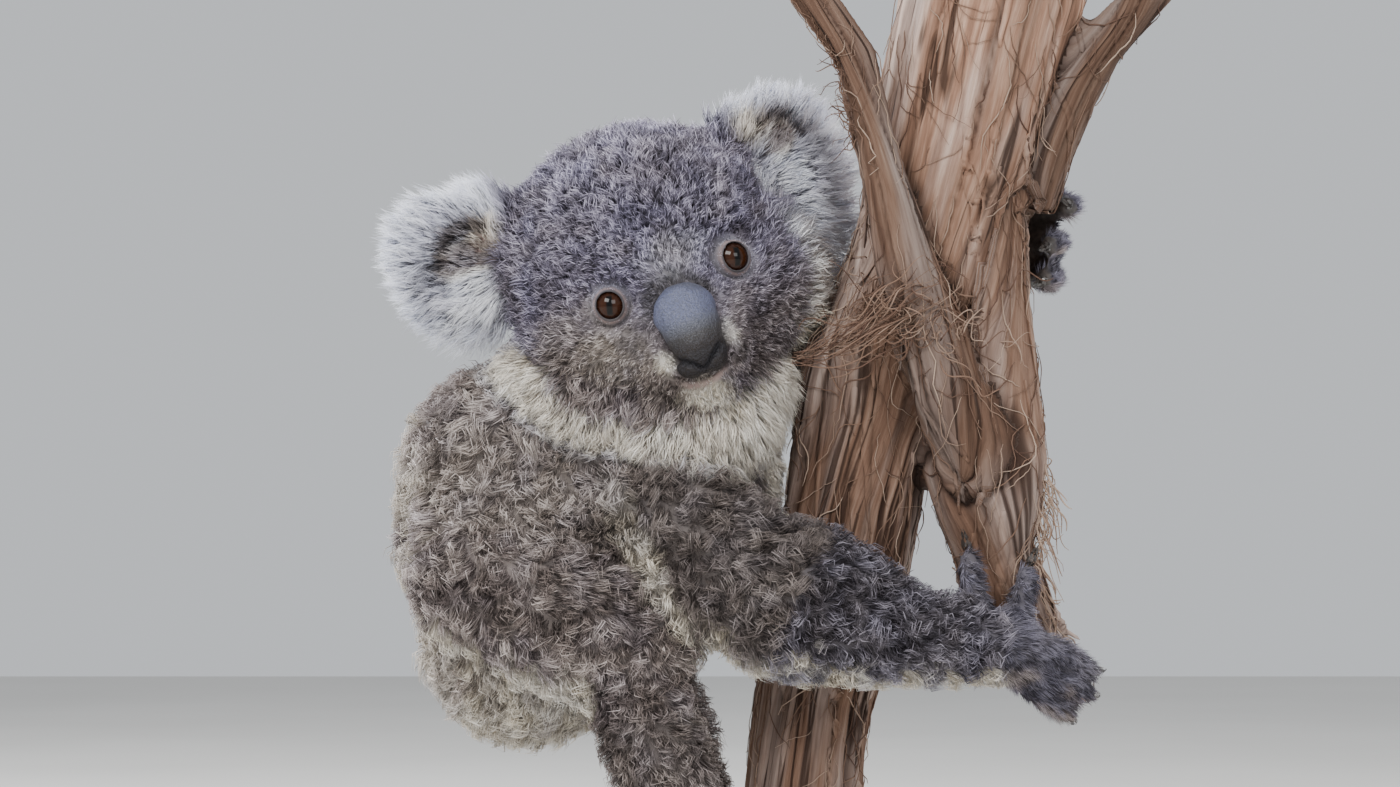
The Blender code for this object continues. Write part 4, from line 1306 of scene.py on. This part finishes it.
def build_perch(material):
    """One barked surface round the trunk, stem, shoot and branch, with grooves that run along the grain."""
    obj = fused_nodes("perch_bark", PERCH, grow=0.3, voxel=PERCH_VOXEL, rounds=4)
    mesh, points, triangles = obj.data, points_of(obj.data), triangles_of(obj.data)
    normals = normals_of(points, triangles)
    z = points[:, 2]
    cut = (np.abs(normals[:, 2]) > 0.8) & ((z > z.max() - 3) | (z < z.min() + 3))
    grain, ring, lit, crease = along_grain(points)
    warp = grain + 2.5 * np.stack([noise(points, 40, 21), noise(points, 40, 22), np.zeros(len(points))], 1)
    broad = noise(warp, (10, 10, 190), 31)
    fine = noise(warp, (4.5, 4.5, 90), 32)
    hair = noise(warp, (2.2, 2.2, 50), 33)
    groove = ramp(1 - np.abs(2 * broad - 1), 0.78, 1.0)
    height = 0.8 * (fine - 0.5) + 0.55 * (hair - 0.5) - 1.9 * groove + 1.6 * (broad - 0.5) - 1.5 * crease
    points += normals * np.where(cut, 0.0, height - 0.2)[:, None]
    move_points(mesh, points)
    # Painted shade in the grooves, the low places and the creases where two logs meet.
    recess_shade = np.clip(0.45 * groove**2 + ramp(fine, 0.32, 0.15) * 0.4 + 0.75 * crease, 0, 1) * (1 - cut)
    lit = spread(lit, edges_of(triangles), 8)
    store_bark(mesh, cut.astype(float), recess_shade, lit, ring, grain)
    return dress(obj, material, "bark", *PERCH)


def store_bark(mesh, cut, recess_shade, lit, ring, grain):
    for name, values in (("cut", cut), ("recess_shade", recess_shade), ("lit", lit), ("ring", ring)):
        add_values(mesh, name, values)
    add_vectors(mesh, "grain", grain * MM)


def ribbon_mesh(name, ribbons, material):
    """Many solid ribbons in one mesh. Each has a path of (n, 3) points, a width, a thickness, the way up at
    each point and a tone, and a four-sided section."""
    points, triangles, tone = [], [], []
    start = 0
    for path, width, thick, up, shade in ribbons:
        n = len(path)
        heading = unit(np.gradient(path, axis=0))
        flat = unit(np.cross(heading, up))
        top = unit(np.cross(flat, heading))
        taper = np.sin(np.linspace(0.12, math.pi - 0.12, n)) ** 0.45
        w, t = flat * (width * taper / 2)[:, None], top * (thick * taper / 2)[:, None]
        points.append(np.stack([path + w - t, path + w + t, path - w + t, path - w - t], 1).reshape(-1, 3))
        base = start + 4 * np.arange(n - 1)[:, None]
        for i in range(4):
            j = (i + 1) % 4
            triangles.append(np.concatenate([base + i, base + j, base + 4 + j], 1))
            triangles.append(np.concatenate([base + i, base + 4 + j, base + 4 + i], 1))
        last = start + 4 * (n - 1)
        triangles.append(start + np.array([[0, 2, 1], [0, 3, 2]]))
        triangles.append(last + np.array([[0, 1, 2], [0, 2, 3]]))
        tone.append(np.full(4 * n, shade))
        start += 4 * n
    points = np.concatenate(points)
    obj = mesh_from(name, points, np.concatenate(triangles))
    add_values(obj.data, "tone", np.concatenate(tone))
    grain, ring, lit, _ = along_grain(points)
    # The strips take the painted light of the wood under them.
    store_bark(obj.data, np.zeros(start), np.zeros(start), lit, ring, grain)
    dress(obj, material, "bark")


def along_wood(tree, start, heading, length, rise, wander):
    """A path laid on the wood from a start: it follows the grain, stands off the wood by each of the
    heights in rise, and comes with the way up at each of its points."""
    at = Vector(start)
    way = Vector(heading).normalized()
    out, ups = [], []
    for height in rise:
        spot, normal, _, _ = tree.find_nearest(at)
        out.append(np.array(spot) + np.array(normal) * height)
        ups.append(np.array(normal))
        turn = way.cross(normal) * float(rng.normal() * wander)
        way = (way - normal * way.dot(normal) + turn).normalized()
        at = spot + way * (length / len(rise))
    return np.array(out), np.array(ups)


def build_strips(wood, bark, fibre):
    """Loose bark: long flat strips, stringy fibres and curled wisps."""
    points, triangles = points_of(wood.data), triangles_of(wood.data)
    tree = BVHTree.FromPolygons([tuple(p) for p in points], triangles.tolist())
    centres = points[triangles].mean(1)
    normals = normals_of(points, triangles)[triangles].mean(1)
    on_side = np.abs(normals[:, 2]) < 0.6
    pool = np.nonzero(on_side & (centres[:, 2] > points[:, 2].min() + 12))[0]
    strips, fibres = [], []
    for index in rng.choice(pool, 110):
        length = rng.uniform(30, 120)
        curl = rng.uniform(0, 5) if rng.random() < 0.3 else 0.0
        rise = [0.1 + curl * max(0.0, i / 25 - 0.7) ** 2 * 12 for i in range(26)]
        path, ups = along_wood(tree, centres[index], (0.05, 0, -1), length, rise, wander=0.03)
        strips.append((path, rng.uniform(2.0, 7.0), rng.uniform(0.5, 1.0), ups, rng.random()))
    ribbon_mesh("perch_strips", strips, bark)
    for index in rng.choice(pool, 700):
        length = rng.uniform(15, 60)
        lift = rng.uniform(0.3, 3.5)
        wave = rng.uniform(0, 2 * math.pi)
        shares = [i / 11 for i in range(12)]
        rise = [0.3 + lift * (0.5 + 0.5 * math.sin(wave + 5 * t)) * t for t in shares]
        heading = (rng.normal() * 0.25, rng.normal() * 0.25, -1)
        path, ups = along_wood(tree, centres[index], heading, length, rise, wander=0.3)
        size = rng.uniform(0.24, 0.48)
        fibres.append((path, size, size, ups, rng.random()))
    ribbon_mesh("perch_fibres", fibres, fibre)
    build_tangle(tree, fibre)


def curly(start, end, sag, turns, size, steps):
    """A fibre between two points that sags and curls round its own line."""
    t = np.linspace(0, 1, steps)[:, None]
    way = unit(end - start)
    across = unit(np.cross(way, [0.3, 1.0, 0.2]))
    over = np.cross(way, across)
    turn = rng.uniform(0, 2 * math.pi) + 2 * math.pi * turns * t
    swell = size * np.sin(t * math.pi) ** 0.5
    path = start + (end - start) * t + np.array([0, 0, -sag]) * 4 * t * (1 - t)
    return path + across * np.sin(turn) * swell + over * np.cos(turn) * swell


def build_tangle(tree, fibre):
    """The shaggy places: a knot of fibres round the shoot, the wisp that reaches from it past the cheek,
    curls on the shoot's side, and the pale fringe down the stem."""
    found = []

    def front_of(x, z):
        spot = tree.ray_cast(Vector((x, -150.0, z)), Vector((0, 1, 0)))[0]
        return None if spot is None else np.array(spot)

    def knot():
        spot = front_of(rng.uniform(58, 108), rng.normal(343, 9))
        if spot is None:
            return None
        return spot, spot + np.array([rng.normal(-4, 15), rng.uniform(-7, 0), rng.normal(-3, 10)])

    def wisp():
        start = np.array([rng.normal(80, 9), -50 + rng.normal(0, 2), rng.normal(350, 6)])
        end = np.array([28 + rng.gamma(1.2, 8.0), -50 + rng.normal(0, 1), 0.0])
        end[2] = 322 + (end[0] - 28) * 0.42 + rng.normal(0, 1.3)
        return start, end

    def curl():
        z = rng.uniform(412, 452)
        start = np.array([np.interp(z, (414, 448), (57, 50)), rng.normal(-35, 4), z])
        return start, start + np.array([rng.uniform(-12, -3), rng.normal(0, 4), rng.normal(2, 7)])

    def fringe():
        z = rng.uniform(198, 282)
        start = np.array([np.interp(z, (200, 240, 280), (143, 130, 136)), rng.normal(-14, 6), z])
        return start, start + np.array([rng.uniform(-2, 12), rng.normal(-4, 4), rng.uniform(-30, -8)])

    # How many, where from and to, how the sag is drawn and its range, then the ranges of the turns, the
    # curl's size, the thickness and the tone, and the number of points.
    kinds = (
        (130, knot, rng.uniform, (-6, 8), (0.5, 2.2), (2, 6), (0.25, 0.6), (0.0, 0.8), 20),
        (40, wisp, rng.normal, (3, 3), (0.8, 2.6), (0.6, 3.0), (0.25, 0.55), (0.0, 0.7), 20),
        (44, curl, rng.uniform, (-2, 2), (0.4, 1.0), (0.8, 2.6), (0.25, 0.5), (0.0, 0.35), 12),
        (110, fringe, rng.uniform, (-3, 5), (0.4, 1.4), (0.8, 3.0), (0.3, 0.7), (0.6, 1.0), 14),
    )
    ups = np.array([0.1, -1.0, 0.1])
    for number, ends, draw_sag, sag, turns, swell, thick, tone, steps in kinds:
        for _ in range(int(number * (1.0))):
            pair = ends()
            if pair is not None:
                path = curly(*pair, draw_sag(*sag), rng.uniform(*turns), rng.uniform(*swell), steps)
                size = rng.uniform(*thick)
                found.append((path, size, size, np.tile(ups, (steps, 1)), rng.uniform(*tone)))
    ribbon_mesh("perch_tangle", found, fibre)


# ================= stage =================
# Each lamp's place and size in metres, its power in watts and its colour.
LAMPS = (
    ("key", (-1.1, -1.7, 1.9), (1.3, 1.0), 60, (1.0, 0.99, 0.97)),
    ("rim_left", (-1.5, 1.3, 1.5), (0.9, 1.4), 85, (0.97, 0.99, 1.0)),
    ("rim_right", (1.5, 1.1, 1.3), (0.9, 1.2), 36, (1.0, 0.98, 0.94)),
    ("fill", (0.9, -2.1, 1.5), (1.2, 1.2), 26, (1.0, 1.0, 1.0)),
)


def build_stage():
    """The floor, the even light all round and the lamps."""
    side = 4000
    corners = np.array([[-side, -side, -0.3], [side, -side, -0.3], [side, side, -0.3], [-side, side, -0.3]])
    floor = mesh_from("floor", corners, np.array([[0, 1, 2], [0, 2, 3]]), smooth=False)
    floor.data.materials.append(floor_material())
    world = bpy.data.worlds.new("studio")
    bpy.context.scene.world = world
    world.use_nodes = True
    background = world.node_tree.nodes["Background"].inputs
    background["Color"].default_value = (0.86, 0.89, 0.93, 1)
    background["Strength"].default_value = 0.75
    centre = (CAD_LOW + CAD_HIGH) / 2
    for name, place, size, power, colour in LAMPS:
        light = bpy.data.lights.new(name, "AREA")
        light.shape = "RECTANGLE"
        light.size, light.size_y = size
        light.energy = power
        light.color = colour
        obj = linked(name, light)
        obj.location = place
        obj.rotation_mode = "QUATERNION"
        obj.rotation_quaternion = (centre - Vector(place)).to_track_quat("-Z", "Y")


def build_camera():
    """A long lens, level and square to the model's front."""
    camera = bpy.data.cameras.new("camera")
    camera.lens = 153.0
    camera.sensor_width = 36.0
    camera.clip_end = 50
    obj = linked("camera", camera)
    obj.location = (-0.0084, -2.5, 0.3087)
    obj.rotation_euler = (math.radians(90), 0, 0)
    bpy.context.scene.camera = obj


def build_stand():
    """The stand's solids with their own looks."""
    board, steel = board_material(), steel_material()
    for name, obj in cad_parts.items():
        if name.startswith("stand_"):
            wear(obj, board if name == "stand_base" else steel)


def paint_skin(skin):
    pale, dark, warm = markings(skin.points, skin.normals, skin.share)
    dark = np.maximum(dark, np.maximum(skin.rim, 0.9 * np.clip(skin.mouth, 0, 1)))
    bare = skin.bare * (1 - skin.rim)
    head = to_head(skin.points)
    for node in EARS:
        hollow = ramp(ear_spot(head, node, "hollow"), 1.5, 0.9) * ramp(ear_place(head, node)[2], -4, 0)
        bare = np.maximum(bare, 0.9 * share_of(skin.share, node) * hollow)
    mesh = skin.obj.data
    add_values(mesh, "mark", np.stack([pale * (1 - skin.rim), dark, warm, np.zeros(len(pale))], 1))
    add_values(mesh, "tone", 0.35 + 0.3 * noise(skin.points, 5, 9))
    add_values(mesh, "bare", np.clip(bare, 0, 1))
    add_values(mesh, "pad", skin.pad)
    dress(skin.obj, coat_material("skin_hide", skin=True), "fur", *FLESH)


def main():
    build_camera()
    build_stage()
    skin = Skin()
    paint_skin(skin)
    build_coat(skin, coat_material("fur_coat"))
    eye = eye_material()
    for side in SIDES:
        build_eye(side, eye)
    build_nose(nose_material())
    dress_claws(claw_material())
    wood = build_perch(bark_material("perch_bark_stringy"))
    build_strips(wood, bark_material("perch_strip", 0.6), fibre_material())
    build_stand()


main()
